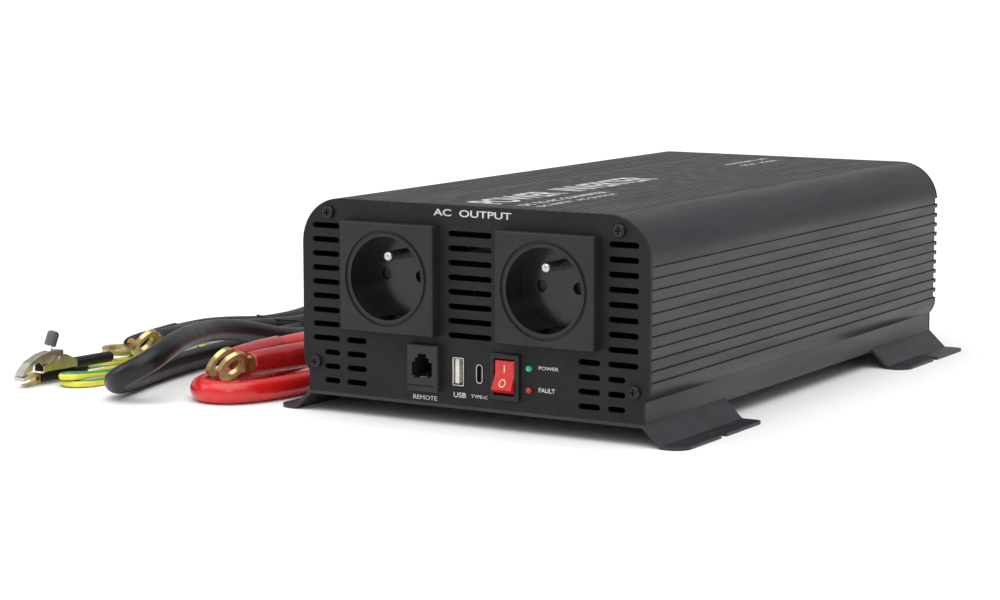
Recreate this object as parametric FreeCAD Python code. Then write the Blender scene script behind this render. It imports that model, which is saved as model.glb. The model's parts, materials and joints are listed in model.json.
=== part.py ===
"""Power inverter: extruded housing, two AC outlets, control strip, rear fans, DC posts and cables.

Millimetres. X to the right seen from the front, Y towards the rear, Z up.
Everything is laid out with the front panel's face at y = 0 and the feet standing on z = 0,
and save() moves it so that the origin is under the middle of the unit.
"""
import FreeCAD, Part
import math
import os
from FreeCAD import Vector

os.makedirs("parts", exist_ok=True)

# Driving dimensions of the case
WIDTH = 183.0
HEIGHT = 91.0
LENGTH = 332.0
CASE_Z = 10.0            # underside of the case above the floor
WALL = 2.5
PANEL_T = 2.0
TOP_RADIUS = 21.0
WAIST_IN = 3.0           # how far the side steps in near the bottom
WAIST_Z = 9.5            # height of that step above the case's underside
WAIST_ROUND_Z = 17.0     # where the rounding above the step starts
TOP_Z = CASE_Z + HEIGHT
HALF_W = WIDTH / 2

# Base plate and feet
PLATE_T = 1.5
PLATE_HALF = HALF_W - WAIST_IN
FOOT_LENGTH = 80.0
FOOT_OUT = 108.0         # outer edge of the foot, from the middle
FOOT_KNEE = 97.0         # where the slope meets the flat flange
FOOT_ROUND = 8.0
SLOT_R = 2.6
SLOT_DEPTH = 7.5

# Front modules, x from the middle and z above the case's underside
SOCKET_X = 41.55
SOCKET_Z = 56.25
SOCKET_SIDE = 50.5
SOCKET_PROUD = 5.8
RECESS_R = 19.2
RECESS_DEPTH = 15.0
CONTACT_PITCH = 19.0
EARTH_PIN_Z = 10.0
JACK_X, JACK_Z = -23.2, 16.2
JACK_W, JACK_H, JACK_PROUD = 16.6, 21.4, 4.0
USB_A_X, USB_A_Z = -5.9, 15.6
USB_C_X, USB_C_Z = 5.3, 15.5
SWITCH_X, SWITCH_Z = 19.15, 15.4
SWITCH_W, SWITCH_H = 15.0, 21.2
LED_X, LED_GREEN_Z, LED_RED_Z = 31.3, 20.1, 10.4
PANEL_SCREWS = ((-76.5, 84.35), (76.5, 84.35), (-84.3, 14.0), (84.3, 14.0))
SCREW_HEAD_R = 3.0

# Vent slots of the panels
VENT_H = 2.7
VENT_TOP_Z = 78.15
VENT_PITCH = 6.6

# Rear modules
FAN_SIDE = 60.0
FAN_T = 15.0
FAN_Z = 47.0
FAN_XS = (-9.8, 50.5)
POST_X = -60.0
POSITIVE_ZS = (18.0, 38.0)
NEGATIVE_ZS = (58.0, 78.0)
EARTH_X, EARTH_Z = -43.0, 34.0
STUD_R = 4.0
STUD_END = 28.0          # free end of a DC stud behind the rear face
STUD_RELIEF = 18.0       # start of the thread relief behind the nut, from the rear face
EARTH_STUD_R = 2.5
EARTH_STUD_END = 14.0

# The unit's middle, front of the outlets to end of the studs
Y_MID = (LENGTH + STUD_END - SOCKET_PROUD) / 2
ORIGIN_SHIFT = Vector(0, -Y_MID, 0)


# ---------------------------------------------------------------- helpers
def save(node, *solids):
    """Write one node, moved into the part's frame."""
    shape = solids[0] if len(solids) == 1 else Part.makeCompound(list(solids))
    shape = shape.copy()
    shape.translate(ORIGIN_SHIFT)
    shape.exportStep("parts/" + node + ".step")
    print(node, len(shape.Solids), round(shape.Volume), shape.isValid())


def box(x0, x1, y0, y1, z0, z1):
    return Part.makeBox(x1 - x0, y1 - y0, z1 - z0, Vector(x0, y0, z0))


def rod(start, end, radius):
    """Cylinder between two points."""
    start, end = Vector(*start), Vector(*end)
    axis = end - start
    return Part.makeCylinder(radius, axis.Length, start, axis)


def pipe(start, end, outer, inner):
    return rod(start, end, outer).cut(rod(start, end, inner))


def fused(*solids):
    return solids[0].fuse(list(solids[1:])).removeSplitter()


def prism_y(points, y0, y1):
    """Solid with the given x, z outline between y0 and y1."""
    corners = [Vector(x, y0, z) for x, z in points]
    return Part.Face(Part.makePolygon(corners + corners[:1])).extrude(Vector(0, y1 - y0, 0))


def prism_x(points, x0, x1):
    """Solid with the given y, z outline between x0 and x1."""
    corners = [Vector(x0, y, z) for y, z in points]
    return Part.Face(Part.makePolygon(corners + corners[:1])).extrude(Vector(x1 - x0, 0, 0))


def stadium_y(x, z, length, height, y0, y1):
    """Full-round slot, long in X, running in Y."""
    r = height / 2
    half = length / 2 - r
    middle = box(x - half, x + half, y0, y1, z - r, z + r)
    ends = [rod((x + s * half, y0, z), (x + s * half, y1, z), r) for s in (-1, 1)]
    return middle.fuse(ends).removeSplitter()


def upright_y(x, z, width, height, y0, y1):
    """Full-round slot, tall in Z, running in Y."""
    r = width / 2
    half = height / 2 - r
    middle = box(x - r, x + r, y0, y1, z - half, z + half)
    ends = [rod((x, y0, z + s * half), (x, y1, z + s * half), r) for s in (-1, 1)]
    return middle.fuse(ends).removeSplitter()


def mirrored(shape):
    return shape.mirror(Vector(0, 0, 0), Vector(1, 0, 0))


def rounded_edges(solid, radius, wanted):
    """Fillet the edges that wanted(edge) picks."""
    return solid.makeFillet(radius, [e for e in solid.Edges if wanted(e)])


def runs_along(edge, axis):
    """True for a straight edge along the axis, 0, 1 or 2."""
    if edge.Curve.TypeId != "Part::GeomLine":
        return False
    return abs(abs(edge.Curve.Direction[axis]) - 1) < 1e-6


# ---------------------------------------------------------------- case
def case_outline(inset, y):
    """Closed x, z outline of the case, moved in by the inset."""
    side = HALF_W - inset
    low_side = HALF_W - WAIST_IN - inset
    low, step, round_z = CASE_Z, CASE_Z + WAIST_Z, CASE_Z + WAIST_ROUND_Z
    top = TOP_Z - inset
    r = TOP_RADIUS - inset
    c = r * math.sqrt(0.5)
    drop = round_z - step
    waist_r = (WAIST_IN ** 2 + drop ** 2) / (2 * WAIST_IN)
    bulge = waist_r - math.sqrt(waist_r ** 2 - (drop / 2) ** 2)

    def p(x, z):
        return Vector(x, y, z)

    def half(s):
        """Edges of one side from the bottom to the top, s is the side's sign."""
        mid_waist = p(s * (side - bulge), round_z - drop / 2)
        corner_mid = p(s * (side - r + c), top - r + c)
        return [
            Part.LineSegment(p(s * low_side, low), p(s * low_side, step)),
            Part.Arc(p(s * low_side, step), mid_waist, p(s * side, round_z)),
            Part.LineSegment(p(s * side, round_z), p(s * side, top - r)),
            Part.Arc(p(s * side, top - r), corner_mid, p(s * (side - r), top)),
        ]

    edges = half(1) + half(-1)
    edges.append(Part.LineSegment(p(side - r, top), p(-(side - r), top)))
    edges.append(Part.LineSegment(p(low_side, low), p(-low_side, low)))
    edges = [e.toShape() for e in edges]
    return Part.Wire(Part.__sortEdges__(edges))


def case_prism(inset, y0, y1):
    return Part.Face(case_outline(inset, y0)).extrude(Vector(0, y1 - y0, 0))


SIDE_GROOVES = [CASE_Z + 69.2 - 5.09 * i for i in range(11)]
TOP_GROOVES = [38.0 + 4.0 * i for i in range(9)]
LABEL_X0, LABEL_X1 = -33.5, 35.5
LABEL_END_GAP = 2.5
LABEL_T = 0.4
NOTCH_Y, NOTCH_Z, NOTCH_DEEP = 4.0, 3.0, 1.3


def rear_notches():
    """Small notches at the rear edge of each side, one above each side groove."""
    cuts = []
    for z in SIDE_GROOVES:
        cuts.append(box(HALF_W - NOTCH_DEEP, HALF_W + 1, LENGTH - NOTCH_Y, LENGTH + 1, z, z + NOTCH_Z))
        cuts.append(box(-HALF_W - 1, -HALF_W + NOTCH_DEEP, LENGTH - NOTCH_Y, LENGTH + 1, z, z + NOTCH_Z))
    return cuts


def housing():
    y0, y1 = PANEL_T, LENGTH - PANEL_T
    shell = case_prism(0, y0, y1)
    inner = case_prism(WALL, y0 - 1, y1 + 1).cut(box(-HALF_W, HALF_W, y0 - 1, y1 + 1, 0, CASE_Z + 1))
    mouth = box(-PLATE_HALF + 16, PLATE_HALF - 16, y0 - 1, y1 + 1, CASE_Z - 1, CASE_Z + WALL)
    inner = inner.cut(box(-HALF_W, -PLATE_HALF + 16, y0 - 1, y1 + 1, 0, CASE_Z + WALL))
    inner = inner.cut(box(PLATE_HALF - 16, HALF_W, y0 - 1, y1 + 1, 0, CASE_Z + WALL))
    shell = shell.cut([inner, mouth])
    bosses = [rod((x, y0, CASE_Z + z), (x, y1, CASE_Z + z), 4.5) for x, z in PANEL_SCREWS]
    shell = shell.fuse(bosses).common(case_prism(0, y0, y1))
    cuts = [rod((x, y0 - 1, CASE_Z + z), (x, y1 + 1, CASE_Z + z), 1.45) for x, z in PANEL_SCREWS]
    for z in SIDE_GROOVES:
        cuts.append(box(HALF_W - 0.9, HALF_W + 1, y0 - 1, y1 + 1, z - 0.45, z + 0.45))
        cuts.append(box(-HALF_W - 1, -HALF_W + 0.9, y0 - 1, y1 + 1, z - 0.45, z + 0.45))
    for x in TOP_GROOVES:
        for s in (-1, 1):
            cuts.append(box(s * x - 0.55, s * x + 0.55, y0 - 1, y1 + 1, TOP_Z - 0.8, TOP_Z + 1))
    cuts.append(box(LABEL_X0, LABEL_X1, LABEL_END_GAP, LENGTH - LABEL_END_GAP, TOP_Z - LABEL_T, TOP_Z + 1))
    cuts += rear_notches()
    for x, y in BASE_SCREWS:
        cuts.append(rod((x, y, CASE_Z - 1), (x, y, CASE_Z + WALL + 1), 1.45))
    return shell.cut(cuts).removeSplitter()


BASE_SCREWS = [(s * 79.0, y) for s in (-1, 1) for y in (12.0, 166.0, 320.0)]


def top_label():
    return box(LABEL_X0 + 0.1, LABEL_X1 - 0.1, LABEL_END_GAP + 0.1, LENGTH - LABEL_END_GAP - 0.1,
               TOP_Z - LABEL_T, TOP_Z + 0.05)


def foot(y0, y1, slot_y):
    """Bent foot on the +X side, with an open slot in its outer edge."""
    z = CASE_Z
    section = [(PLATE_HALF - 1.0, z), (PLATE_HALF, z), (FOOT_KNEE + 0.6, PLATE_T), (FOOT_OUT, PLATE_T),
               (FOOT_OUT, 0), (FOOT_KNEE, 0), (PLATE_HALF - 0.6, z - PLATE_T), (PLATE_HALF - 1.0, z - PLATE_T)]
    body = prism_y(section, y0, y1)

    def outer_corner(edge):
        return runs_along(edge, 2) and abs(edge.CenterOfMass.x - FOOT_OUT) < 0.01

    front = [e for e in body.Edges if outer_corner(e) and abs(e.CenterOfMass.y - y0) < 0.01]
    rear = [e for e in body.Edges if outer_corner(e) and abs(e.CenterOfMass.y - y1) < 0.01]
    body = body.makeFillet(FOOT_ROUND, front)
    rear = [e for e in body.Edges if outer_corner(e) and abs(e.CenterOfMass.y - y1) < 0.01]
    body = body.makeFillet(3.0, rear)
    inner_x = FOOT_OUT - SLOT_DEPTH + SLOT_R
    slot = [rod((inner_x, slot_y, -1), (inner_x, slot_y, PLATE_T + 1), SLOT_R),
            box(inner_x, FOOT_OUT + 1, slot_y - SLOT_R, slot_y + SLOT_R, -1, PLATE_T + 1)]
    return body.cut(slot)


FOOT_SPANS = ((0.0, FOOT_LENGTH), (LENGTH - FOOT_LENGTH, LENGTH))
SLOT_YS = (FOOT_LENGTH / 2, LENGTH - FOOT_LENGTH / 2)


def base_plate():
    plate = box(-PLATE_HALF, PLATE_HALF, 0, LENGTH, CASE_Z - PLATE_T, CASE_Z)
    feet = []
    for (y0, y1), slot_y in zip(FOOT_SPANS, SLOT_YS):
        one = foot(y0, y1, slot_y)
        feet += [one, mirrored(one)]
    plate = plate.fuse(feet)
    holes = [rod((x, y, 0), (x, y, CASE_Z + 1), 1.7) for x, y in BASE_SCREWS]
    sinks = [Part.makeCone(3.1, 1.7, 1.2, Vector(x, y, CASE_Z - PLATE_T), Vector(0, 0, 1)) for x, y in BASE_SCREWS]
    return plate.cut(holes + sinks).removeSplitter()


def vent_slots(y0, y1):
    """The front panel's slots as cutters."""
    slots = []
    for row in range(12):
        z = CASE_Z + VENT_TOP_Z - VENT_PITCH * row
        outer = 15.0 if row < 9 else 8.6
        for s in (-1, 1):
            slots.append(stadium_y(s * (71.0 + outer / 2), z, outer, VENT_H, y0, y1))
            if row >= 8:
                slots.append(stadium_y(s * 61.6, z, 11.0, VENT_H, y0, y1))
        if row < 8:
            slots.append(stadium_y(0, z, 23.0, VENT_H, y0, y1))
    return slots


def front_panel():
    panel = case_prism(0, 0, PANEL_T)
    y0, y1 = -1, PANEL_T + 1
    cuts = vent_slots(y0, y1)
    cuts += [rod((x, y0, CASE_Z + z), (x, y1, CASE_Z + z), 1.7) for x, z in PANEL_SCREWS]
    for s in (-1, 1):
        x, z = s * SOCKET_X, CASE_Z + SOCKET_Z
        cuts.append(rod((x, y0, z), (x, y1, z), SOCKET_BODY_R + 0.2))
    cuts.append(module_hole(JACK_X, JACK_Z, JACK_W - 2, JACK_H - 2))
    cuts.append(module_hole(USB_A_X, USB_A_Z, 6.2, 13.2))
    cuts.append(upright_y(USB_C_X, CASE_Z + USB_C_Z, 3.6, 9.0, y0, y1))
    cuts.append(module_hole(SWITCH_X, SWITCH_Z, SWITCH_W - 1.6, SWITCH_H - 1.8))
    for z in (LED_GREEN_Z, LED_RED_Z):
        cuts.append(rod((LED_X, y0, CASE_Z + z), (LED_X, y1, CASE_Z + z), 1.6))
    return panel.cut(cuts).removeSplitter()


def module_hole(x, z, width, height):
    z += CASE_Z
    return box(x - width / 2, x + width / 2, -1, PANEL_T + 1, z - height / 2, z + height / 2)


def rear_panel():
    panel = case_prism(0, LENGTH - PANEL_T, LENGTH)
    y0, y1 = LENGTH - PANEL_T - 1, LENGTH + 1
    cuts = [rod((x, y0, CASE_Z + z), (x, y1, CASE_Z + z), 1.7) for x, z in PANEL_SCREWS]
    for x in FAN_XS:
        z = CASE_Z + FAN_Z
        cuts.append(rod((x, y0, z), (x, y1, z), 28.5))
        cuts += [rod((x + a, y0, z + b), (x + a, y1, z + b), 2.2) for a, b in FAN_HOLES]
    for z in POSITIVE_ZS + NEGATIVE_ZS:
        cuts.append(rod((POST_X, y0, CASE_Z + z), (POST_X, y1, CASE_Z + z), 7.2))
    cuts.append(rod((EARTH_X, y0, CASE_Z + EARTH_Z), (EARTH_X, y1, CASE_Z + EARTH_Z), EARTH_STUD_R + 0.05))
    return panel.cut(cuts + rear_notches()).removeSplitter()


FAN_HOLES = [(a, b) for a in (-25.0, 25.0) for b in (-25.0, 25.0)]


def pan_screw(x, z, face_y, outward, length=8.0):
    """Pan-head screw with a cross recess; outward is -1 at the front and 1 at the rear."""
    z += CASE_Z
    head_h = 2.0
    top_y = face_y + outward * head_h
    head = rod((x, face_y, z), (x, top_y, z), SCREW_HEAD_R)
    rim = [e for e in head.Edges if abs(e.BoundBox.YMin - top_y) < 0.01 and abs(e.BoundBox.YMax - top_y) < 0.01]
    head = head.makeFillet(1.1, rim)
    shank = rod((x, face_y, z), (x, face_y - outward * length, z), 1.45)
    cross_deep = 1.3
    lo, hi = sorted((top_y - outward * cross_deep, top_y + outward))
    cross = [box(x - 1.6, x + 1.6, lo, hi, z - 0.35, z + 0.35), box(x - 0.35, x + 0.35, lo, hi, z - 1.6, z + 1.6)]
    return head.fuse(shank).cut(cross)


def base_screw(x, y):
    head = Part.makeCone(3.0, 1.6, 1.2, Vector(x, y, CASE_Z - PLATE_T), Vector(0, 0, 1))
    shank = rod((x, y, CASE_Z - PLATE_T + 1.0), (x, y, CASE_Z + 7), 1.45)
    screw = head.fuse(shank)
    z = CASE_Z - PLATE_T
    return screw.cut([box(x - 1.4, x + 1.4, y - 0.35, y + 0.35, z - 1, z + 0.8),
                      box(x - 0.35, x + 0.35, y - 1.4, y + 1.4, z - 1, z + 0.8)])


# ---------------------------------------------------------------- AC outlets
SOCKET_BODY_R = 22.5
SOCKET_FLOOR_T = 3.0
FLOOR_Y = -SOCKET_PROUD + RECESS_DEPTH
SHUTTER_T = 1.6
SHUTTER_TRAVEL = 6.4
CONTACT_R = 2.75
SOCKET_BACK_Y = 34.0


def ac_socket(x):
    """Outlet moulding: square plate, round recess with a raised lip, shutter pocket and contact wells."""
    z = CASE_Z + SOCKET_Z
    half = SOCKET_SIDE / 2
    plate = box(x - half, x + half, -SOCKET_PROUD, 0, z - half, z + half)
    plate = rounded_edges(plate, 1.0, lambda e: e.BoundBox.YMax < -SOCKET_PROUD + 0.01)
    lip_front = -SOCKET_PROUD - 0.001
    body = rod((x, -0.5, z), (x, SOCKET_BACK_Y, z), SOCKET_BODY_R)
    moulding = plate.fuse(body)
    lip_groove = pipe((x, lip_front, z), (x, lip_front + 1.0, z), 22.3, 20.7)
    recess = rod((x, -SOCKET_PROUD - 1, z), (x, FLOOR_Y, z), RECESS_R)
    keys = [box(x - 6.5, x + 6.5, -SOCKET_PROUD + 2.2, FLOOR_Y, z + s * 20.2 - 1.6, z + s * 20.2 + 1.6) for s in (-1, 1)]
    holes = [rod((x + s * CONTACT_PITCH / 2, FLOOR_Y - 1, z), (x + s * CONTACT_PITCH / 2, SOCKET_BACK_Y - 3, z),
                 CONTACT_R) for s in (-1, 1)]
    pocket_y = FLOOR_Y + SOCKET_FLOOR_T
    pocket = box(x - 15.2, x + 15.2, pocket_y, pocket_y + SHUTTER_T + 0.6, z - 12.2, z + 5.8)
    pin_hole = rod((x, FLOOR_Y - 1, z + EARTH_PIN_Z), (x, SOCKET_BACK_Y + 1, z + EARTH_PIN_Z), 2.4)
    tag_slots = [box(x + s * CONTACT_PITCH / 2 - 2.1, x + s * CONTACT_PITCH / 2 + 2.1, SOCKET_BACK_Y - 4,
                     SOCKET_BACK_Y + 1, z - 0.5, z + 0.5) for s in (-1, 1)]
    return moulding.cut([lip_groove, recess, pocket, pin_hole] + keys + holes + tag_slots).removeSplitter()


def socket_shutter(x):
    """Plate that covers both contact wells and uncovers them when it drops."""
    z = CASE_Z + SOCKET_Z
    y0 = FLOOR_Y + SOCKET_FLOOR_T + 0.3
    plate = box(x - 14.8, x + 14.8, y0, y0 + SHUTTER_T, z - 5.4, z + 5.5)
    plate = plate.fuse(box(x - 5.6, x + 5.6, y0, y0 + SHUTTER_T, z - 5.5, z + 5.5))
    windows = [rod((x + s * CONTACT_PITCH / 2, y0 - 1, z + SHUTTER_TRAVEL), (x + s * CONTACT_PITCH / 2, y0 + 4,
                   z + SHUTTER_TRAVEL), 3.0) for s in (-1, 1)]
    return plate.cut(windows).removeSplitter()


def earth_pin(x):
    z = CASE_Z + SOCKET_Z + EARTH_PIN_Z
    tip_y = FLOOR_Y - 14.0
    pin = rod((x, tip_y, z), (x, SOCKET_BACK_Y + 6, z), 2.4)
    rim = [e for e in pin.Edges if e.BoundBox.YMax < tip_y + 0.01]
    return pin.makeFillet(2.0, rim)


def socket_contact(x):
    """Split tube that grips one plug pin, with its solder tag."""
    z = CASE_Z + SOCKET_Z
    y0, y1 = FLOOR_Y + SOCKET_FLOOR_T + SHUTTER_T + 1.4, SOCKET_BACK_Y - 3
    tube = pipe((x, y0, z), (x, y1, z), 2.7, 2.3)
    tube = tube.cut(box(x - 0.4, x + 0.4, y0 - 1, y1 - 4, z, z + 4))
    tag = box(x - 2.0, x + 2.0, y1, SOCKET_BACK_Y + 6, z - 0.4, z + 0.4)
    plug = rod((x, y1 - 1.5, z), (x, y1, z), 2.5)
    return fused(tube, plug, tag)


# ---------------------------------------------------------------- control strip
JACK_BACK_Y = 14.0


def remote_jack():
    """Modular jack housing with a stepped mouth and a seam line near its foot."""
    x, z = JACK_X, CASE_Z + JACK_Z
    face = -JACK_PROUD
    flange = box(x - JACK_W / 2, x + JACK_W / 2, face, 0, z - JACK_H / 2, z + JACK_H / 2)
    flange = rounded_edges(flange, 0.8, lambda e: e.BoundBox.YMax < face + 0.01 or runs_along(e, 1))
    body = box(x - JACK_W / 2 + 1.1, x + JACK_W / 2 - 1.1, -0.5, JACK_BACK_Y, z - JACK_H / 2 + 1.1, z + JACK_H / 2 - 1.1)
    low = z + 1.0 - 5.55
    mouth_y = JACK_BACK_Y - 2
    steps = ((10.8, 1.0, 7.4), (8.4, 0.0, 1.1), (7.4, 7.3, 9.4), (4.6, 9.3, 11.2))
    cuts = [box(x - w / 2, x + w / 2, face - 1, mouth_y, low + a, low + b) for w, a, b in steps]
    cuts.append(box(x - 8.0, x + 6.4, face - 1, face + 0.7, low - 3.7, low - 3.1))
    return flange.fuse(body).cut(cuts).removeSplitter()


def jack_contacts():
    """Four sprung wires on the floor of the jack's mouth."""
    low = CASE_Z + JACK_Z + 1.0 - 5.55
    wires = []
    for i in range(4):
        x = JACK_X - 1.53 + 1.02 * i
        outline = [(-2.4, low), (-2.4, low + 0.5), (8.0, low + 3.4), (8.0, low + 2.9), (0.0, low)]
        wires.append(prism_x(outline, x - 0.22, x + 0.22))
    return wires


def usb_a_shell():
    x, z = USB_A_X, CASE_Z + USB_A_Z
    outer = box(x - 3.0, x + 3.0, -0.5, 13.0, z - 6.5, z + 6.5)
    outer = rounded_edges(outer, 0.6, lambda e: runs_along(e, 1))
    inner = box(x - 2.6, x + 2.6, -1, 12.6, z - 6.1, z + 6.1)
    return outer.cut(inner)


def usb_a_tongue():
    """Insulating tongue with its block at the back and four recessed contacts."""
    x, z = USB_A_X, CASE_Z + USB_A_Z
    tongue = box(x - 2.3, x - 0.3, 0.8, 12.4, z - 5.6, z + 5.6)
    block = box(x - 2.5, x + 2.5, 10.4, 12.5, z - 6.0, z + 6.0)
    grooves = [box(x - 0.5, x, 1.6, 9.0, z + dz - 0.6, z + dz + 0.6) for dz in (-3.5, -1.2, 1.2, 3.5)]
    return tongue.fuse(block).cut(grooves).removeSplitter()


def usb_c_shell():
    x, z = USB_C_X, CASE_Z + USB_C_Z
    outer = upright_y(x, z, 3.4, 8.8, -0.5, 9.0)
    return outer.cut(upright_y(x, z, 2.7, 8.1, -1, 8.6))


def usb_c_tongue():
    x, z = USB_C_X, CASE_Z + USB_C_Z
    tongue = box(x - 0.35, x + 0.35, 1.2, 8.4, z - 3.2, z + 3.2)
    block = upright_y(x, z, 2.6, 8.0, 6.8, 8.5)
    return fused(tongue, block)


def usb_board():
    """Small board that carries both data-size power outlets, with its regulator and coil."""
    z = CASE_Z + USB_A_Z
    board = box(USB_A_X - 6.4, USB_C_X + 6.0, 13.0, 14.6, z - 12, z + 10.5)
    coil = rod((USB_C_X, 14.6, z - 4), (USB_C_X, 19.0, z - 4), 3.6)
    chip = box(USB_A_X - 3, USB_A_X + 3, 14.6, 16.2, z - 3, z + 3)
    return [board, coil, chip]


ROCKER_PIVOT_Y = 1.0
ROCKER_W = 10.2
ROCKER_HALF_H = 6.6
ROCKER_CREST = 2.8       # pivot to the middle of the face
ROCKER_END = 4.4         # pivot to the face at its ends
ROCKER_TILT = 15.0
BEZEL_FRONT_Y = -2.0


def power_switch_body():
    x, z = SWITCH_X, CASE_Z + SWITCH_Z
    bezel = box(x - SWITCH_W / 2, x + SWITCH_W / 2, BEZEL_FRONT_Y, 0, z - SWITCH_H / 2, z + SWITCH_H / 2)
    bezel = rounded_edges(bezel, 0.9, lambda e: e.BoundBox.YMax < BEZEL_FRONT_Y + 0.01)
    body = box(x - SWITCH_W / 2 + 0.9, x + SWITCH_W / 2 - 0.9, -0.5, 16, z - SWITCH_H / 2 + 1.0, z + SWITCH_H / 2 - 1.0)
    well = box(x - ROCKER_W / 2 - 0.35, x + ROCKER_W / 2 + 0.35, -3, 11, z - 8.3, z + 8.3)
    pivot = rod((x - 6.3, ROCKER_PIVOT_Y, z), (x + 6.3, ROCKER_PIVOT_Y, z), 1.25)
    blades = [box(x - 2.4, x + 2.4, 16, 24, z + dz - 0.4, z + dz + 0.4) for dz in (-5.0, 5.0)]
    return [bezel.fuse(body).cut([well, pivot]).removeSplitter()] + blades


def power_rocker():
    """Rocker with a shallow V face, its lower half standing out: switched on."""
    r_end = math.hypot(ROCKER_HALF_H, ROCKER_END)
    x0 = SWITCH_X - ROCKER_W / 2
    back = 3.4
    outline = [(-ROCKER_CREST, 0), (-ROCKER_END, ROCKER_HALF_H), (0, r_end * 0.98), (back, 5.0), (back + 2.2, 0),
               (back, -5.0), (0, -r_end * 0.98), (-ROCKER_END, -ROCKER_HALF_H)]
    body = prism_x(outline, x0, x0 + ROCKER_W)
    face_edges = [e for e in body.Edges if e.BoundBox.YMax < -ROCKER_CREST + 0.4 and not (
        runs_along(e, 0) and abs(e.CenterOfMass.z) < 0.1)]
    body = body.makeFillet(0.5, face_edges)
    trunnions = rod((SWITCH_X - 6.0, 0, 0), (SWITCH_X + 6.0, 0, 0), 1.2)
    body = body.fuse(trunnions)
    body.rotate(Vector(0, 0, 0), Vector(1, 0, 0), -ROCKER_TILT)
    body.translate(Vector(0, ROCKER_PIVOT_Y, CASE_Z + SWITCH_Z))
    return body.removeSplitter()


def led(z):
    z += CASE_Z
    dome_y = -0.6
    barrel = rod((LED_X, dome_y, z), (LED_X, PANEL_T + 3, z), 1.5)
    dome = Part.makeSphere(1.5, Vector(LED_X, dome_y, z))
    flange = rod((LED_X, PANEL_T, z), (LED_X, PANEL_T + 1, z), 1.9)
    legs = [rod((LED_X, PANEL_T + 2.9, z + dz), (LED_X, PANEL_T + 11, z + dz), 0.3) for dz in (-0.8, 0.8)]
    return fused(barrel, dome, flange, *legs)


# ---------------------------------------------------------------- rear
def fan_frame(x):
    """Square fan frame with a round duct, and the motor seat on four struts."""
    z = CASE_Z + FAN_Z
    y1 = LENGTH - PANEL_T
    y0 = y1 - FAN_T
    half = FAN_SIDE / 2
    frame = box(x - half, x + half, y0, y1, z - half, z + half)
    frame = rounded_edges(frame, 4.0, lambda e: runs_along(e, 1))
    frame = frame.cut([rod((x, y0 - 1, z), (x, y1 + 1, z), 28.5)])
    frame = frame.cut([rod((x + a, y0 - 1, z + b), (x + a, y1 + 1, z + b), 2.2) for a, b in FAN_HOLES])
    seat = rod((x, y1 - 3, z), (x, y1, z), 13.5)
    strut = box(x - 29.5, x + 29.5, y1 - 2.5, y1 - 0.2, z - 1.2, z + 1.2)
    struts = []
    for angle in (35, 125):
        arm = strut.copy()
        arm.rotate(Vector(x, 0, z), Vector(0, 1, 0), angle)
        struts.append(arm)
    bore = rod((x, y0, z), (x, y1 + 1, z), 1.55)
    return frame.fuse([seat] + struts).cut(bore).removeSplitter()


def fan_rotor(x):
    """Hub with seven pitched blades on a shaft that runs in the motor seat."""
    z = CASE_Z + FAN_Z
    y1 = LENGTH - PANEL_T - 3.5
    y0 = y1 - 10.5
    hub = rod((x, y0, z), (x, y1, z), 12.5)
    hub = hub.makeFillet(1.5, [e for e in hub.Edges if e.BoundBox.YMax < y0 + 0.01])
    shaft = rod((x, y1 - 1, z), (x, LENGTH - PANEL_T - 0.3, z), 1.5)
    ring = pipe((x, y0 + 0.4, z), (x, y1 - 0.4, z), 27.4, 12.0)
    blades = []
    for i in range(7):
        blade = box(x, x + 30, -0.7, 0.7, z - 11, z + 11)
        blade.rotate(Vector(x, 0, z), Vector(1, 0, 0), 50)
        blade.translate(Vector(0, (y0 + y1) / 2, 0))
        blade.rotate(Vector(x, 0, z), Vector(0, 1, 0), 360 / 7 * i)
        blades.append(blade.common(ring))
    return hub.fuse([shaft] + blades).removeSplitter()


def fan_guard(x):
    """Finger guard: flat rings on four arms, with an eye at each screw."""
    z = CASE_Z + FAN_Z
    y0, y1 = LENGTH, LENGTH + 1.6
    guard = rod((x, y0 + 0.6, z), (x, y1, z), 5.0)
    rings = [pipe((x, y0 + 0.4, z), (x, y1, z), r + 0.8, r - 0.8) for r in (10.0, 15.6, 21.2, 26.8)]
    arms = []
    for angle in (45, 135, 225, 315):
        arm = box(x + 3, x + 35.4, y0, y1 - 0.4, z - 1.0, z + 1.0)
        arm.rotate(Vector(x, y0, z), Vector(0, 1, 0), angle)
        arms.append(arm)
    eyes = [rod((x + a, y0, z + b), (x + a, y1 - 0.2, z + b), 3.8) for a, b in FAN_HOLES]
    holes = [rod((x + a, y0 - 1, z + b), (x + a, y1 + 1, z + b), 2.2) for a, b in FAN_HOLES]
    return guard.fuse(rings + arms + eyes).cut(holes).removeSplitter()


def fan_screw(x, z):
    return pan_screw(x, z, LENGTH + 1.6, 1, 20.0)


def terminal_base(zs):
    """Insulating block that carries one pole's two DC studs through the rear panel."""
    mid = CASE_Z + sum(zs) / 2
    half = (zs[1] - zs[0]) / 2 + 9.4
    flange = box(POST_X - 12, POST_X + 12, LENGTH, LENGTH + 7, mid - half, mid + half)
    flange = rounded_edges(flange, 4.0, lambda e: runs_along(e, 1))
    flange = rounded_edges(flange, 1.2, lambda e: e.BoundBox.YMin > LENGTH + 6.99)
    back_y = LENGTH - PANEL_T - 6
    back = box(POST_X - 9, POST_X + 9, back_y, LENGTH - PANEL_T, mid - half, mid + half)
    necks = [rod((POST_X, back_y, CASE_Z + z), (POST_X, LENGTH + 1, CASE_Z + z), 7.1) for z in zs]
    bores = [rod((POST_X, back_y - 1, CASE_Z + z), (POST_X, LENGTH + 8, CASE_Z + z), STUD_R) for z in zs]
    return flange.fuse([back] + necks).cut(bores).removeSplitter()


STUD_IN_Y = LENGTH - 26.0


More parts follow.
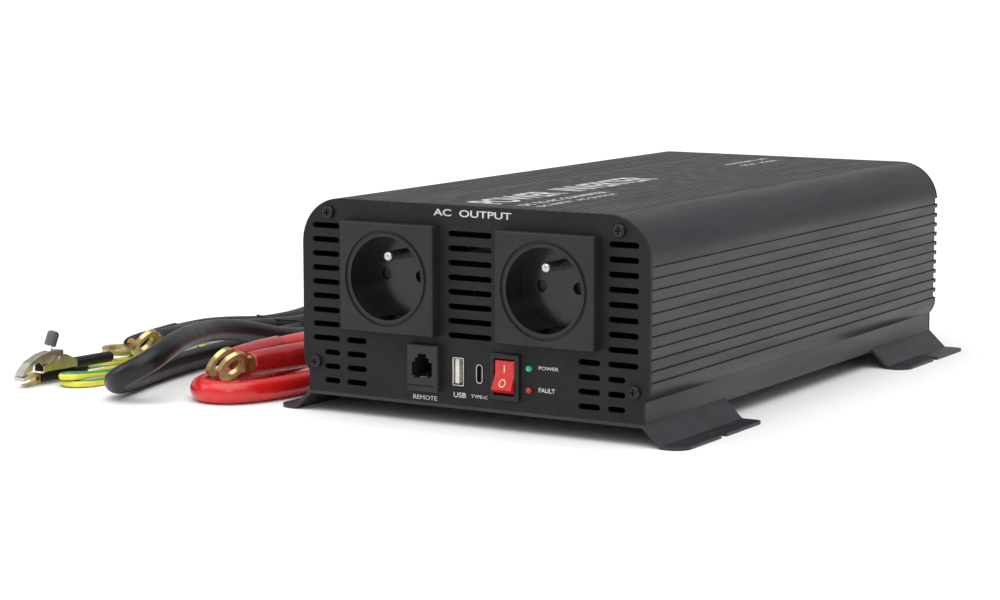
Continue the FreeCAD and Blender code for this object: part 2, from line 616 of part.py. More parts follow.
def hex_nut(x, z, y0, y1, flat, bore):
    r = flat / math.sqrt(3)
    corners = [(x + r * math.cos(math.radians(60 * i)), CASE_Z + z + r * math.sin(math.radians(60 * i)))
               for i in range(6)]
    return prism_y(corners, y0, y1).cut(rod((x, y0 - 1, CASE_Z + z), (x, y1 + 1, CASE_Z + z), bore))


def washer(x, z, y0, y1, outer, bore):
    return pipe((x, y0, CASE_Z + z), (x, y1, CASE_Z + z), outer, bore)


LUG_T = 2.2
LUG_Y = LENGTH + 7.0     # front face of a lug on its stud
NUT_Y = LUG_Y + LUG_T + 1.6


def terminal_studs():
    relief_y = LENGTH + STUD_RELIEF
    studs = []
    for z in POSITIVE_ZS + NEGATIVE_ZS:
        stud = rod((POST_X, STUD_IN_Y, CASE_Z + z), (POST_X, LENGTH + STUD_END, CASE_Z + z), STUD_R)
        relief = pipe((POST_X, relief_y, CASE_Z + z), (POST_X, relief_y + 1, CASE_Z + z), STUD_R + 1, STUD_R - 0.5)
        studs.append(stud.cut(relief))
    earth = rod((EARTH_X, LENGTH - 10, CASE_Z + EARTH_Z), (EARTH_X, LENGTH + EARTH_STUD_END, CASE_Z + EARTH_Z),
                EARTH_STUD_R)
    return studs + [earth]


def terminal_nuts():
    parts = []
    for z in POSITIVE_ZS + NEGATIVE_ZS:
        parts.append(washer(POST_X, z, NUT_Y - 1.6, NUT_Y, 8.0, STUD_R))
        parts.append(hex_nut(POST_X, z, NUT_Y, NUT_Y + 6.5, 13.0, STUD_R))
    parts.append(hex_nut(EARTH_X, EARTH_Z, LENGTH, LENGTH + 3, 8.0, EARTH_STUD_R))
    parts.append(hex_nut(EARTH_X, EARTH_Z, LENGTH + 3 + EARTH_LUG_T, LENGTH + 7 + EARTH_LUG_T, 8.0, EARTH_STUD_R))
    return parts


EARTH_LUG_T = 1.0


def busbars():
    """One copper bar behind each pole's studs; the lower bar drops to the main board, the upper one steps round it."""
    y0, y1 = STUD_IN_Y + 2, STUD_IN_Y + 5
    bars = []
    for zs, foot_x in ((POSITIVE_ZS, POST_X), (NEGATIVE_ZS, POST_X + 22)):
        low, high = CASE_Z + zs[0] - 8, CASE_Z + zs[1] + 8
        bar = box(POST_X - 7, POST_X + 7, y0, y1, low, high)
        drop = box(foot_x - 7, foot_x + 7, y0, y1, BOARD_TOP, low + 12)
        link = box(POST_X - 7, foot_x + 7, y0, y1, low, low + 12)
        foot_pad = box(foot_x - 7, foot_x + 7, y0 - 14, y1, BOARD_TOP, BOARD_TOP + 2)
        bores = [rod((POST_X, y0 - 1, CASE_Z + z), (POST_X, y1 + 1, CASE_Z + z), STUD_R) for z in zs]
        bars.append(fused(bar, link, drop, foot_pad).cut(bores))
    return bars


# ---------------------------------------------------------------- inside
BOARD_Z = CASE_Z + 8.0
BOARD_T = 1.6
BOARD_TOP = BOARD_Z + BOARD_T
STANDOFFS = [(s * 66.0, y) for s in (-1, 1) for y in (46.0, 170.0, 288.0)]


def main_board():
    board = box(-70, 70, 40, 300, BOARD_Z, BOARD_TOP)
    return board.cut([rod((x, y, BOARD_Z - 1), (x, y, BOARD_TOP + 1), 1.7) for x, y in STANDOFFS])


def board_standoffs():
    posts = []
    for x, y in STANDOFFS:
        posts.append(rod((x, y, CASE_Z), (x, y, BOARD_Z), 3.2))
        posts.append(rod((x, y, BOARD_TOP), (x, y, BOARD_TOP + 2.2), 2.8))
    return posts


TRANSFORMER_Y = (205.0, 250.0)
TRANSFORMER_X = 2.0


def transformer_cores():
    """Ferrite cores: two outer legs, a centre leg, and the yokes above and below."""
    cores = []
    for y in TRANSFORMER_Y:
        z = BOARD_TOP
        whole = box(TRANSFORMER_X - 22, TRANSFORMER_X + 22, y - 8, y + 8, z + 1, z + 45)
        windows = [box(TRANSFORMER_X + s * 11 - 5, TRANSFORMER_X + s * 11 + 5, y - 9, y + 9, z + 7, z + 39)
                   for s in (-1, 1)]
        cores.append(whole.cut(windows))
    return cores


def transformer_windings():
    """Wound bobbin round each centre leg."""
    parts = []
    for y in TRANSFORMER_Y:
        z = BOARD_TOP
        coil = box(TRANSFORMER_X - 15.8, TRANSFORMER_X + 15.8, y - 15, y + 15, z + 7.2, z + 38.8)
        coil = rounded_edges(coil, 6.0, lambda e: runs_along(e, 2))
        parts.append(coil.cut(box(TRANSFORMER_X - 6, TRANSFORMER_X + 6, y - 8, y + 8, z + 7, z + 40)))
    return parts


def can(x, y, radius, height):
    """Electrolytic can with a rounded top."""
    body = rod((x, y, BOARD_TOP), (x, y, BOARD_TOP + height), radius)
    top = [e for e in body.Edges if e.BoundBox.ZMin > BOARD_TOP + height - 0.01]
    return body.makeFillet(1.2, top)


def input_capacitors():
    return [can(-42 + 21 * i, 284, 8, 31) for i in range(5)]


def bulk_capacitors():
    return [can(x, y, 12.5, 50) for x, y in ((-30, 118), (0, 118), (-30, 150))]


CHOKE_X, CHOKE_Y, CHOKE_R = 40.0, 120.0, 19.0


def choke_core():
    z = BOARD_TOP + 24
    return Part.makeTorus(CHOKE_R - 6, 4.6, Vector(CHOKE_X, CHOKE_Y, z), Vector(0, 1, 0))


def choke_winding():
    """Wire turns round the toroid, each a closed ring, spaced round most of it."""
    z = BOARD_TOP + 24
    turns = []
    count = 15
    for i in range(count):
        angle = math.radians(-60 + 300 / (count - 1) * i)
        radial = Vector(math.cos(angle), 0, math.sin(angle))
        tangent = Vector(-math.sin(angle), 0, math.cos(angle))
        centre = Vector(CHOKE_X, CHOKE_Y, z) + radial * (CHOKE_R - 6)
        turns.append(Part.makeTorus(5.7, 0.95, centre, tangent))
    return turns


SPREADER_INNER = HALF_W - WALL - 9.0


def heat_spreaders():
    """Aluminium bars against both side walls that carry the power transistors."""
    bar = box(SPREADER_INNER, HALF_W - WALL - 0.05, 60, 290, CASE_Z + 20, CASE_Z + 56)
    return [bar, mirrored(bar)]


TRANSISTOR_YS = [72 + 17.0 * i for i in range(13)]


def transistors():
    """Plastic-bodied power transistors along both spreaders, with their legs in the board."""
    parts = []
    for s in (-1, 1):
        for y in TRANSISTOR_YS:
            face = s * SPREADER_INNER
            x0, x1 = sorted((face, face - s * 4.5))
            body = box(x0, x1, y - 5, y + 5, CASE_Z + 24, CASE_Z + 39.5)
            leg_x = s * (SPREADER_INNER - 2.4)
            legs = [box(leg_x - 0.3, leg_x + 0.3, y + dy - 0.4, y + dy + 0.4, BOARD_TOP + 2, CASE_Z + 24.5)
                    for dy in (-2.54, 0, 2.54)]
            parts.append(body.fuse(legs))
    return parts


def transistor_clamps():
    """Steel strips that press the transistors to the spreaders."""
    x0 = SPREADER_INNER - 6.0
    bar = box(x0, SPREADER_INNER - 4.5, 62, 288, CASE_Z + 29, CASE_Z + 36)
    ends = [box(SPREADER_INNER - 4.6, SPREADER_INNER, y - 2.5, y + 2.5, CASE_Z + 29, CASE_Z + 36)
            for y in (63.6, 284.5)]
    clamp = fused(bar, *ends)
    return [clamp, mirrored(clamp)]


FUSE_X, FUSE_PITCH, FUSE_Y0, FUSE_Y1 = 25.0, 11.0, 258.0, 275.0


def blade_fuses():
    """Blade fuses soldered side by side at the battery input."""
    parts = []
    for i in range(4):
        x = FUSE_X + FUSE_PITCH * i
        top = box(x - 2.6, x + 2.6, FUSE_Y0, FUSE_Y1, BOARD_TOP + 9, BOARD_TOP + 19)
        legs = [box(x - 0.4, x + 0.4, y, y + 5, BOARD_TOP, BOARD_TOP + 9.5) for y in (FUSE_Y0 + 1, FUSE_Y1 - 6)]
        parts.append(top.fuse(legs))
    return parts


def control_board():
    """Upright board with the controller chips."""
    board = box(-60, -58.4, 100, 190, BOARD_TOP, BOARD_TOP + 34)
    chips = [box(-58.4, -56.6, y - 5, y + 5, BOARD_TOP + 12, BOARD_TOP + 22) for y in (120, 140, 165)]
    return [board] + chips


# ---------------------------------------------------------------- battery cables and earth lead
CABLE_R = 5.5
LEAD_R = 1.7
LUG_BARREL_START = 12.0
LUG_REACH = 32.0         # ring centre to the end of the barrel
LUG_STRAIGHT = 66.0      # the cable keeps the lug's direction up to here
LUG_RING_R = 8.5
STUD_LUG_HOLE_R = 4.2
FREE_LUG_HOLE_R = 4.8
LUG_BARREL_R = 5.0
SLEEVE_R = 6.3
STUD_SLEEVE_FROM, FREE_SLEEVE_FROM, SLEEVE_TO = 20.0, 10.5, 50.0
FLOOR_C = CABLE_R + 0.2  # height of a cable's middle where it lies on the floor
FLOOR_L = LEAD_R + 0.2

# Free-end lugs: ring centre, direction to the cable, and the ring's normal
POSITIVE_A_LUG = ((-146.5, 7, 17.4), (-0.04, 1.0, 0.0), (-0.80, 0.1, 0.55))
POSITIVE_B_LUG = ((-136, 3, 16.8), (0.17, 0.985, 0.0), (-0.80, 0.1, 0.55))
NEGATIVE_A_LUG = ((-224.5, 46, 15.4), (-0.08, 0.99, -0.03), (-0.80, 0.0, 0.60))
NEGATIVE_B_LUG = ((-253, 59, 7.6), (-0.02, 1.0, 0.04), (0.1, -0.12, 1.0))

# Routes from the straight stretch at the stud to the one at the free lug
POSITIVE_A_ROUTE = [(-151, 327, 16), (-164, 292, 6.5), (-169, 242, FLOOR_C), (-171, 190, FLOOR_C), (-167, 142, 8),
                    (-154.5, 108, 14.8)]
POSITIVE_B_ROUTE = [(-156, 331, 33), (-177, 298, 12), (-185, 246, FLOOR_C), (-184, 190, FLOOR_C),
                    (-179, 138, FLOOR_C), (-165, 92, FLOOR_C), (-157, 50, FLOOR_C), (-157.5, 14, FLOOR_C),
                    (-149, -8.5, FLOOR_C), (-130, -9, FLOOR_C), (-119, 14, FLOOR_C), (-117, 54, FLOOR_C),
                    (-113, 88, FLOOR_C), (-103, 118, FLOOR_C), (-99, 152, FLOOR_C), (-100, 190, FLOOR_C),
                    (-110, 215, FLOOR_C),
                    (-130, 224, FLOOR_C), (-149, 213, FLOOR_C), (-157, 182, FLOOR_C), (-148, 143, 8),
                    (-135, 105, 14.5)]
NEGATIVE_A_ROUTE = [(-162, 337, 76), (-194, 318, 54), (-216, 292, 35), (-227, 264, 21.5), (-230, 236, 8),
                    (-230, 200, FLOOR_C), (-229.5, 158, 8.5)]
NEGATIVE_B_ROUTE = [(-161, 335, 55), (-188, 308, 32), (-201, 266, 12), (-203, 216, FLOOR_C), (-200, 168, FLOOR_C),
                    (-198, 134, 8), (-200, 100, 17), (-198, 70, 21.5), (-188, 42, 23.5), (-177, 16, 25),
                    (-168.5, -6, 24), (-165.5, -22.6, 20), (-171.9, -29, 15.8), (-181, -29, 11.3),
                    (-187.5, -22.6, 7.8), (-192, -8, 5.9), (-199, 17, FLOOR_C), (-204.5, 42, FLOOR_C),
                    (-208, 68, FLOOR_C), (-211, 98, FLOOR_C), (-216, 138, FLOOR_C), (-218.5, 180, FLOOR_C),
                    (-216, 216, FLOOR_C), (-215, 246, FLOOR_C), (-226, 268, FLOOR_C), (-246, 271, FLOOR_C),
                    (-258, 253, FLOOR_C), (-252, 228, FLOOR_C), (-247, 204, FLOOR_C), (-249, 180, FLOOR_C),
                    (-253.5, 155, 8.4)]
EARTH_ROUTE = [(-43, 337, 15), (-50, 344, 5.5), (-66, 350, FLOOR_L), (-98, 354, FLOOR_L), (-142, 354, FLOOR_L),
               (-190, 349, FLOOR_L), (-236, 334, FLOOR_L), (-266, 306, FLOOR_L), (-274, 268, FLOOR_L),
               (-268, 236, FLOOR_L), (-259, 210, FLOOR_L), (-259, 184, FLOOR_L), (-264, 158, FLOOR_L),
               (-262, 136, FLOOR_L), (-247, 122, FLOOR_L), (-229, 110, FLOOR_L), (-220, 86, FLOOR_L),
               (-218.5, 54, FLOOR_L), (-217, 28, FLOOR_L), (-216.6, 6, FLOOR_L), (-220, -6, FLOOR_L),
               (-228.5, -11, FLOOR_L), (-236, -5, FLOOR_L), (-238.5, 8, FLOOR_L), (-238.4, 32, FLOOR_L),
               (-237, 58, FLOOR_L), (-235.5, 76, 2.6), (-228, 84, 4.4), (-220.5, 78, 5.6), (-218, 60, 5.7),
               (-217.5, 34, 5.7), (-219, 8, 5.7), (-223, -8, 5.6), (-230.5, -13, 5.5), (-235, -4, 5.2),
               (-233.5, 11, 3), (-232.5, 28, FLOOR_L), (-233, 44, 2.8), (-235.5, 57, 5.5), (-240, 66, 5.5),
               (-246.5, 68, 3.4), (-251.5, 62, FLOOR_L), (-252.3, 50, 2.2), (-251, 40, 2.7)]
EARTH_LUG_BARREL = 16.0
EARTH_LUG_R = 4.6
EARTH_BARREL_R = 1.8


def along(start, direction, distance):
    d = Vector(*direction)
    d.normalize()
    return tuple(Vector(*start) + d * distance)


def cord_tube(name, route, radius):
    """Round tube on straight runs joined by tangent arcs, each arc as large as its runs allow."""
    points = [Vector(*p) for p in route]
    edges = []
    radii = []
    last = points[0]
    for before, corner, after in zip(points, points[1:], points[2:]):
        back, ahead = before - corner, after - corner
        reach = 0.45 * min(back.Length, ahead.Length)
        back.normalize()
        ahead.normalize()
        half_turn = (math.pi - back.getAngle(ahead)) / 2
        bend_r = reach / math.tan(half_turn)
        radii.append(round(bend_r))
        start, end = corner + back * reach, corner + ahead * reach
        inward = back + ahead
        inward.normalize()
        middle = corner + inward * (bend_r / math.cos(half_turn) - bend_r)
        edges.append(Part.LineSegment(last, start).toShape())
        edges.append(Part.Arc(start, middle, end).toShape())
        last = end
    edges.append(Part.LineSegment(last, points[-1]).toShape())
    path = Part.Wire(edges)
    section = Part.Wire(Part.makeCircle(radius, points[0], points[1] - points[0]))
    tube = path.makePipeShell([section], True, True)
    expected = math.pi * radius ** 2 * path.Length
    print(name, "length", round(path.Length), "volume ratio", round(tube.Volume / expected, 4), "radii", radii)
    return tube


def in_frame(shape, origin, x_axis, z_axis):
    """Place a shape drawn at the origin so that its X and Z point along the given directions."""
    x_axis = Vector(*x_axis)
    x_axis.normalize()
    z_axis = Vector(*z_axis)
    z_axis = z_axis - x_axis * z_axis.dot(x_axis)
    z_axis.normalize()
    y_axis = z_axis.cross(x_axis)
    matrix = FreeCAD.Matrix(x_axis.x, y_axis.x, z_axis.x, origin[0], x_axis.y, y_axis.y, z_axis.y, origin[1],
                            x_axis.z, y_axis.z, z_axis.z, origin[2], 0, 0, 0, 1)
    shape = shape.copy()
    shape.Placement = FreeCAD.Placement(matrix).multiply(shape.Placement)
    return shape


def ring_lug(ring_r, hole_r, thick, barrel_r, start, reach, rise):
    """Ring terminal along X: flat eye, neck, and a crimped barrel whose axis is rise above the eye."""
    eye = Part.makeCylinder(ring_r, thick, Vector(0, 0, -thick / 2))
    neck = Part.makeBox(start + 2, 1.8 * barrel_r, thick, Vector(0, -0.9 * barrel_r, -thick / 2))
    barrel = Part.makeCylinder(barrel_r, reach - start, Vector(start, 0, rise), Vector(1, 0, 0))
    ramp_points = [Vector(start - 0.5, 0, -thick / 2), Vector(start + 3.5, 0, rise - barrel_r * 0.8),
                   Vector(start + 3.5, 0, rise + barrel_r * 0.8), Vector(start - 0.5, 0, thick / 2)]
    ramp = Part.Face(Part.makePolygon(ramp_points + ramp_points[:1])).extrude(Vector(0, barrel_r * 1.1, 0))
    ramp.translate(Vector(0, -barrel_r * 0.55, 0))
    bore = Part.makeCylinder(hole_r, thick * 3, Vector(0, 0, -thick * 1.5))
    return eye.fuse([neck, ramp, barrel]).cut(bore).removeSplitter()


def cable_lug(place, hole_r, rise):
    lug = ring_lug(LUG_RING_R, hole_r, LUG_T, LUG_BARREL_R, LUG_BARREL_START, LUG_REACH, rise)
    return in_frame(lug, *place)


def sleeve(centre, direction, first):
    """Heat-shrink sleeve over the barrel and the first of the cable, from a distance to the ring's centre."""
    ends = along(centre, direction, first), along(centre, direction, SLEEVE_TO)
    return pipe(*ends, SLEEVE_R, CABLE_R + 0.05)


STUD_LUG_RISE = LUG_BARREL_R - LUG_T / 2
TO_LEFT = (-1, 0, 0)
TO_REAR = (0, 1, 0)
CABLES = (("positive_cable_a", POSITIVE_ZS[0], POSITIVE_A_ROUTE, POSITIVE_A_LUG),
          ("positive_cable_b", POSITIVE_ZS[1], POSITIVE_B_ROUTE, POSITIVE_B_LUG),
          ("negative_cable_b", NEGATIVE_ZS[0], NEGATIVE_B_ROUTE, NEGATIVE_B_LUG),
          ("negative_cable_a", NEGATIVE_ZS[1], NEGATIVE_A_ROUTE, NEGATIVE_A_LUG))


def save_cables():
    lugs = []
    sleeves = {"positive": [], "negative": []}
    lug_mid_y = LUG_Y + LUG_T / 2
    for name, stud_z, route, free_lug in CABLES:
        stud_eye = (POST_X, lug_mid_y, CASE_Z + stud_z)
        barrel_line = (POST_X, lug_mid_y + STUD_LUG_RISE, CASE_Z + stud_z)
        lugs.append(cable_lug((stud_eye, TO_LEFT, TO_REAR), STUD_LUG_HOLE_R, STUD_LUG_RISE))
        lugs.append(cable_lug(free_lug, FREE_LUG_HOLE_R, 0.0))
        sleeves[name.split("_")[0]] += [sleeve(barrel_line, TO_LEFT, STUD_SLEEVE_FROM),
                                        sleeve(*free_lug[:2], FREE_SLEEVE_FROM)]
        first = [along(barrel_line, TO_LEFT, d) for d in (LUG_REACH, LUG_STRAIGHT)]
        last = [along(*free_lug[:2], d) for d in (LUG_STRAIGHT, LUG_REACH)]
        save(name, cord_tube(name, first + route + last, CABLE_R))
    earth_eye = (EARTH_X, LENGTH + 3 + EARTH_LUG_T / 2, CASE_Z + EARTH_Z)
    earth_rise = EARTH_BARREL_R - EARTH_LUG_T / 2
    earth_lug = ring_lug(EARTH_LUG_R, EARTH_STUD_R + 0.1, EARTH_LUG_T, EARTH_BARREL_R, 6.0, EARTH_LUG_BARREL,
                         earth_rise)
    lugs.append(in_frame(earth_lug, earth_eye, (0, 0, -1), TO_REAR))
    save("ring_lugs", *lugs)
    save("positive_sleeves", *sleeves["positive"])
    save("negative_sleeves", *sleeves["negative"])
    start = (EARTH_X, earth_eye[1] + earth_rise, earth_eye[2] - EARTH_LUG_BARREL)
    save("earth_lead", cord_tube("earth_lead", [start] + EARTH_ROUTE + [BOOT_END], LEAD_R))


# ---------------------------------------------------------------- crocodile clip on the earth lead
CLIP_PIVOT = (-244.0, 0.0, 12.0)
CLIP_HEADING = (0.1, 0.99, 0.0)   # from the pivot to the tail
CLIP_NOSE = 25.0
CLIP_TAIL = 38.0
CLIP_HALF_W = 3.6
CLIP_SHEET = 0.6
JAW_GAP = 0.25           # side play between the two folded jaws
MOUTH_X, MOUTH_Z, MOUTH_R = -14.8, -3.3, 3.4
PIN_R = 1.0
HANDLE_TURN = 65.0
HANDLE_LENGTH = 9.8
HANDLE_FOOT = Vector(-5.5, 0, 3.9)
TAIL_Z = -3.7
BOOT_R = 2.9
BOOT_END = (-249.8, 28.0, 3.2)
BOOT_NOSE = (-247.8, -9.0, 3.4)

FIXED_OUTLINE = [(-CLIP_NOSE, -8.2), (-9, -5.0), (11, -5.0), (11, -1.4), (3.5, 2.2), (-3.5, 2.2), (-9, -1.4),
                 (-CLIP_NOSE, -6.4)]
FIXED_HOLLOW = [(-CLIP_NOSE + 1, -7.4), (-8.8, -4.4), (12, -4.4), (12, 4), (-CLIP_NOSE + 1, 4)]
MOVING_OUTLINE = [(-CLIP_NOSE, -5.8), (-24.6, -4.2), (-19.5, 0.4), (-12, 3.4), (-5, 4.6), (2.4, 4.4), (2.8, 0),
                  (0.6, -2.4), (-3, -2.4), (-9, -0.8)]
MOVING_HOLLOW = [(-CLIP_NOSE + 1.2, -6.5), (-CLIP_NOSE + 1.2, -4.6), (-19.2, -0.4), (-11.8, 2.7), (-4.9, 3.9),
                 (3.5, 3.7), (3.5, -4)]


def clip_placed(shape):
    """Move a clip piece from the clip's own frame: X to the tail, Z up, the pin at the origin."""
    return in_frame(shape, CLIP_PIVOT, CLIP_HEADING, (0, 0, 1))


def jaw_trough(outline, hollow, half_w):
    """Folded sheet jaw: a solid side view hollowed out between two cheeks, with the mouth and pin holes."""
    solid = prism_y(outline, -half_w, half_w)
    inside = prism_y(hollow, -half_w + CLIP_SHEET, half_w - CLIP_SHEET)
    mouth = rod((MOUTH_X, -9, MOUTH_Z), (MOUTH_X, 9, MOUTH_Z), MOUTH_R)
    pin_hole = rod((0, -9, 0), (0, 9, 0), PIN_R + 0.05)
    return solid.cut([inside, mouth, pin_hole])


def clip_jaw_fixed():
    jaw = jaw_trough(FIXED_OUTLINE, FIXED_HOLLOW, CLIP_HALF_W)
    tang = box(9, CLIP_TAIL - 2, -2.2, 2.2, -4.7, -4.1)
    return jaw.fuse(tang).removeSplitter()


def handle_placed(shape):
    shape.rotate(Vector(0, 0, 0), Vector(0, 1, 0), -HANDLE_TURN)
    shape.translate(HANDLE_FOOT)
    return shape


def clip_jaw_moving():
    jaw = jaw_trough(MOVING_OUTLINE, MOVING_HOLLOW, CLIP_HALF_W - CLIP_SHEET - JAW_GAP)
    lever = handle_placed(box(0, HANDLE_LENGTH, -1.9, 1.9, -0.3, 0.3))
    return jaw.fuse(lever).removeSplitter()


def clip_grip_fixed():
    grip = Part.makeCylinder(2.8, CLIP_TAIL - 11.2, Vector(11.2, 0, TAIL_Z), Vector(1, 0, 0))
    grip = grip.makeFillet(1.2, [e for e in grip.Edges if e.BoundBox.XMin > CLIP_TAIL - 0.01])
    return grip.cut(box(9, CLIP_TAIL - 2, -2.2, 2.2, -4.7, -4.1))


def clip_grip_moving():
    tip = HANDLE_LENGTH + 1.2
    grip = Part.makeCylinder(3.0, tip - 3.6, Vector(3.6, 0, 0), Vector(1, 0, 0))
    grip = grip.makeFillet(1.6, [e for e in grip.Edges if e.BoundBox.XMin > tip - 0.01])
    return handle_placed(grip.cut(box(0, HANDLE_LENGTH, -1.9, 1.9, -0.3, 0.3)))


def clip_pin():
    shank = rod((0, -CLIP_HALF_W - 0.8, 0), (0, CLIP_HALF_W + 0.8, 0), PIN_R)
    heads = [rod((0, s * CLIP_HALF_W, 0), (0, s * (CLIP_HALF_W + 0.8), 0), 1.7) for s in (-1, 1)]
    return fused(shank, *heads)


def clip_boot():
    """Boot that carries the lead's end to the brass terminal at the nose."""
    return rod(BOOT_END, BOOT_NOSE, BOOT_R)


def clip_terminal():
    """Brass terminal at the boot's nose: drilled block, clamp screw and a bent tab that rests on the floor."""
    x, y, z = BOOT_NOSE
    block = box(x - 1.8, x + 1.8, y - 4.6, y - 0.2, z - 2.4, z + 2.6)
    hole = rod((x - 3, y - 2.4, z), (x + 3, y - 2.4, z), 1.0)
    screw = rod((x - 3.4, y - 2.4, z + 0.9), (x - 1.7, y - 2.4, z + 0.9), 1.5)
    tab_outline = [(y - 4.4, z - 2.4), (y - 4.4, z - 1.6), (y - 6.2, z - 1.9), (y - 11.5, z - 2.2), (y - 11.5, z - 3.0),
                   (y - 6.4, z - 2.7)]
    tab = prism_x(tab_outline, x - 1.6, x + 1.4)
    return block.cut(hole).fuse([screw, tab]).removeSplitter()


def save_clip():
    save("clip_jaw_fixed", clip_placed(clip_jaw_fixed()))
    save("clip_jaw_moving", clip_placed(clip_jaw_moving()))
    save("clip_grip_fixed", clip_placed(clip_grip_fixed()), clip_boot())
    save("clip_grip_moving", clip_placed(clip_grip_moving()))
    save("clip_pin", clip_placed(clip_pin()))
    save("clip_terminal", clip_terminal())


def main():
    save("housing_extrusion", housing())
    save("base_plate", base_plate())
    save("front_panel", front_panel())
    save("rear_panel", rear_panel())
    save("top_label", top_label())
    screws = [pan_screw(x, z, 0, -1) for x, z in PANEL_SCREWS]
    screws += [pan_screw(x, z, LENGTH, 1) for x, z in PANEL_SCREWS]
    screws += [fan_screw(x + a, FAN_Z + b) for x in FAN_XS for a, b in FAN_HOLES]
    save("pan_screws", *screws)
    save("base_screws", *[base_screw(x, y) for x, y in BASE_SCREWS])
    for side, x in (("left", -SOCKET_X), ("right", SOCKET_X)):
        save("ac_socket_" + side, ac_socket(x))
        save("socket_shutter_" + side, socket_shutter(x))
    save("socket_earth_pins", earth_pin(-SOCKET_X), earth_pin(SOCKET_X))
    save("socket_contacts", *[socket_contact(s * SOCKET_X + t * CONTACT_PITCH / 2) for s in (-1, 1) for t in (-1, 1)])
    save("remote_jack", remote_jack())
    save("remote_jack_contacts", *jack_contacts())
    save("usb_a_shell", usb_a_shell())
    save("usb_a_tongue", usb_a_tongue())
    save("usb_c_shell", usb_c_shell())
    save("usb_c_tongue", usb_c_tongue())
    save("usb_board", *usb_board())
    save("power_switch_body", *power_switch_body())
    save("power_rocker", power_rocker())
    save("led_power", led(LED_GREEN_Z))
    save("led_fault", led(LED_RED_Z))
    save("fan_frames", *[fan_frame(x) for x in FAN_XS])
    for side, x in zip(("left", "right"), FAN_XS):
        save("fan_rotor_" + side, fan_rotor(x))
    save("fan_guards", *[fan_guard(x) for x in FAN_XS])
    save("terminal_base_positive", terminal_base(POSITIVE_ZS))
    save("terminal_base_negative", terminal_base(NEGATIVE_ZS))
    save("terminal_studs", *terminal_studs())
    save("terminal_nuts", *terminal_nuts())
    save("busbars", *busbars())
    save("main_board", main_board())
    save("board_standoffs", *board_standoffs())
    save("transformer_cores", *transformer_cores())
    save("transformer_windings", *transformer_windings())
    save("input_capacitors", *input_capacitors())
    save("bulk_capacitors", *bulk_capacitors())
    save("choke_core", choke_core())
    save("choke_winding", *choke_winding())
    save("heat_spreaders", *heat_spreaders())
    save("transistors", *transistors())
    save("transistor_clamps", *transistor_clamps())
    save("blade_fuses", *blade_fuses())
    save("control_board", *control_board())
    save_cables()
    save_clip()


main()
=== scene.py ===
"""Looks of the power inverter: finishes, cables, printing and small wires, and a plain studio."""
import math
import random

import bmesh
import bpy
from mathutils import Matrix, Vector
from mathutils.bvhtree import BVHTree
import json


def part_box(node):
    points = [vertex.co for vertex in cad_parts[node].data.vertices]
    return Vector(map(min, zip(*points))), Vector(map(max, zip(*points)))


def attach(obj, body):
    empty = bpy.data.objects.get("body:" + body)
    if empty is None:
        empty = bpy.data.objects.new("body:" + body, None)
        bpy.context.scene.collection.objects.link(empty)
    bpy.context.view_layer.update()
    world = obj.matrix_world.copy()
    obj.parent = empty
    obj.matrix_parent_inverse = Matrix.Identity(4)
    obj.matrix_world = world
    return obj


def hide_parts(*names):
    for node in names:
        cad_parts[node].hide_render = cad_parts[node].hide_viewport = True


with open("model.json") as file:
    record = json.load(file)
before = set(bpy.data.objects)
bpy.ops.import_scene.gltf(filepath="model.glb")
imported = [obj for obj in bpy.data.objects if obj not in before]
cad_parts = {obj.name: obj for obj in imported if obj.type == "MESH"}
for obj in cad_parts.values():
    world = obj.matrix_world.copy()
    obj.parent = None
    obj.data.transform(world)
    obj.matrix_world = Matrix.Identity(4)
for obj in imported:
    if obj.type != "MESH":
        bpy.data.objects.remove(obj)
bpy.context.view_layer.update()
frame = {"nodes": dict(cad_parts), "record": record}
NODES = frame["nodes"]
MM = 0.001
FRONT_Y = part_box("front_panel")[0].y
CASE_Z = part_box("front_panel")[0].z
random.seed(4)


def at(x, y, z):
    """A point in metres from millimetres right of the middle, behind the front face and above the floor."""
    return Vector((x * MM, FRONT_Y + y * MM, z * MM))


def placed(name, data):
    """New object in the scene."""
    obj = bpy.data.objects.new(name, data)
    bpy.context.scene.collection.objects.link(obj)
    return obj


def link(name, data, material, body="case"):
    """New piece for a mesh or curve, with its material and slot, riding on a body."""
    obj = placed(name, data)
    data.materials.append(material)
    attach(obj, body)
    return obj


def as_mesh(name, curve):
    """Mesh of a curve or a line of text, made through an object that is then removed."""
    holder = placed(name, curve)
    bpy.context.view_layer.update()
    mesh = bpy.data.meshes.new_from_object(holder)
    bpy.data.objects.remove(holder)
    return mesh


def bridge(mesh, rings):
    """Join each ring of vertices to the next with four-sided faces."""
    for one, two in zip(rings, rings[1:]):
        for k in range(len(one)):
            after = (k + 1) % len(one)
            mesh.faces.new((one[k], one[after], two[after], two[k]))


def mesh_data(mesh, name, smooth=False):
    """Mesh data from a bmesh, its faces turned outwards."""
    bmesh.ops.recalc_face_normals(mesh, faces=mesh.faces)
    data = bpy.data.meshes.new(name)
    mesh.to_mesh(data)
    mesh.free()
    if smooth:
        data.shade_smooth()
    return data


def curve_over(name, points, radius_mm, steps, roundness, closed=False):
    """Curve of one NURBS spline over points in mm, swept into a round bar where it has a radius."""
    curve = bpy.data.curves.new(name, "CURVE")
    curve.dimensions = "3D"
    line = curve.splines.new("NURBS")
    line.points.add(len(points) - 1)
    for point, place in zip(line.points, points):
        point.co = (*at(*place), 1)
    line.order_u = 3
    line.use_endpoint_u = not closed
    line.use_cyclic_u = closed
    line.resolution_u = steps
    curve.bevel_depth = radius_mm * MM
    curve.bevel_resolution = roundness
    curve.use_fill_caps = bool(radius_mm) and not closed
    return curve


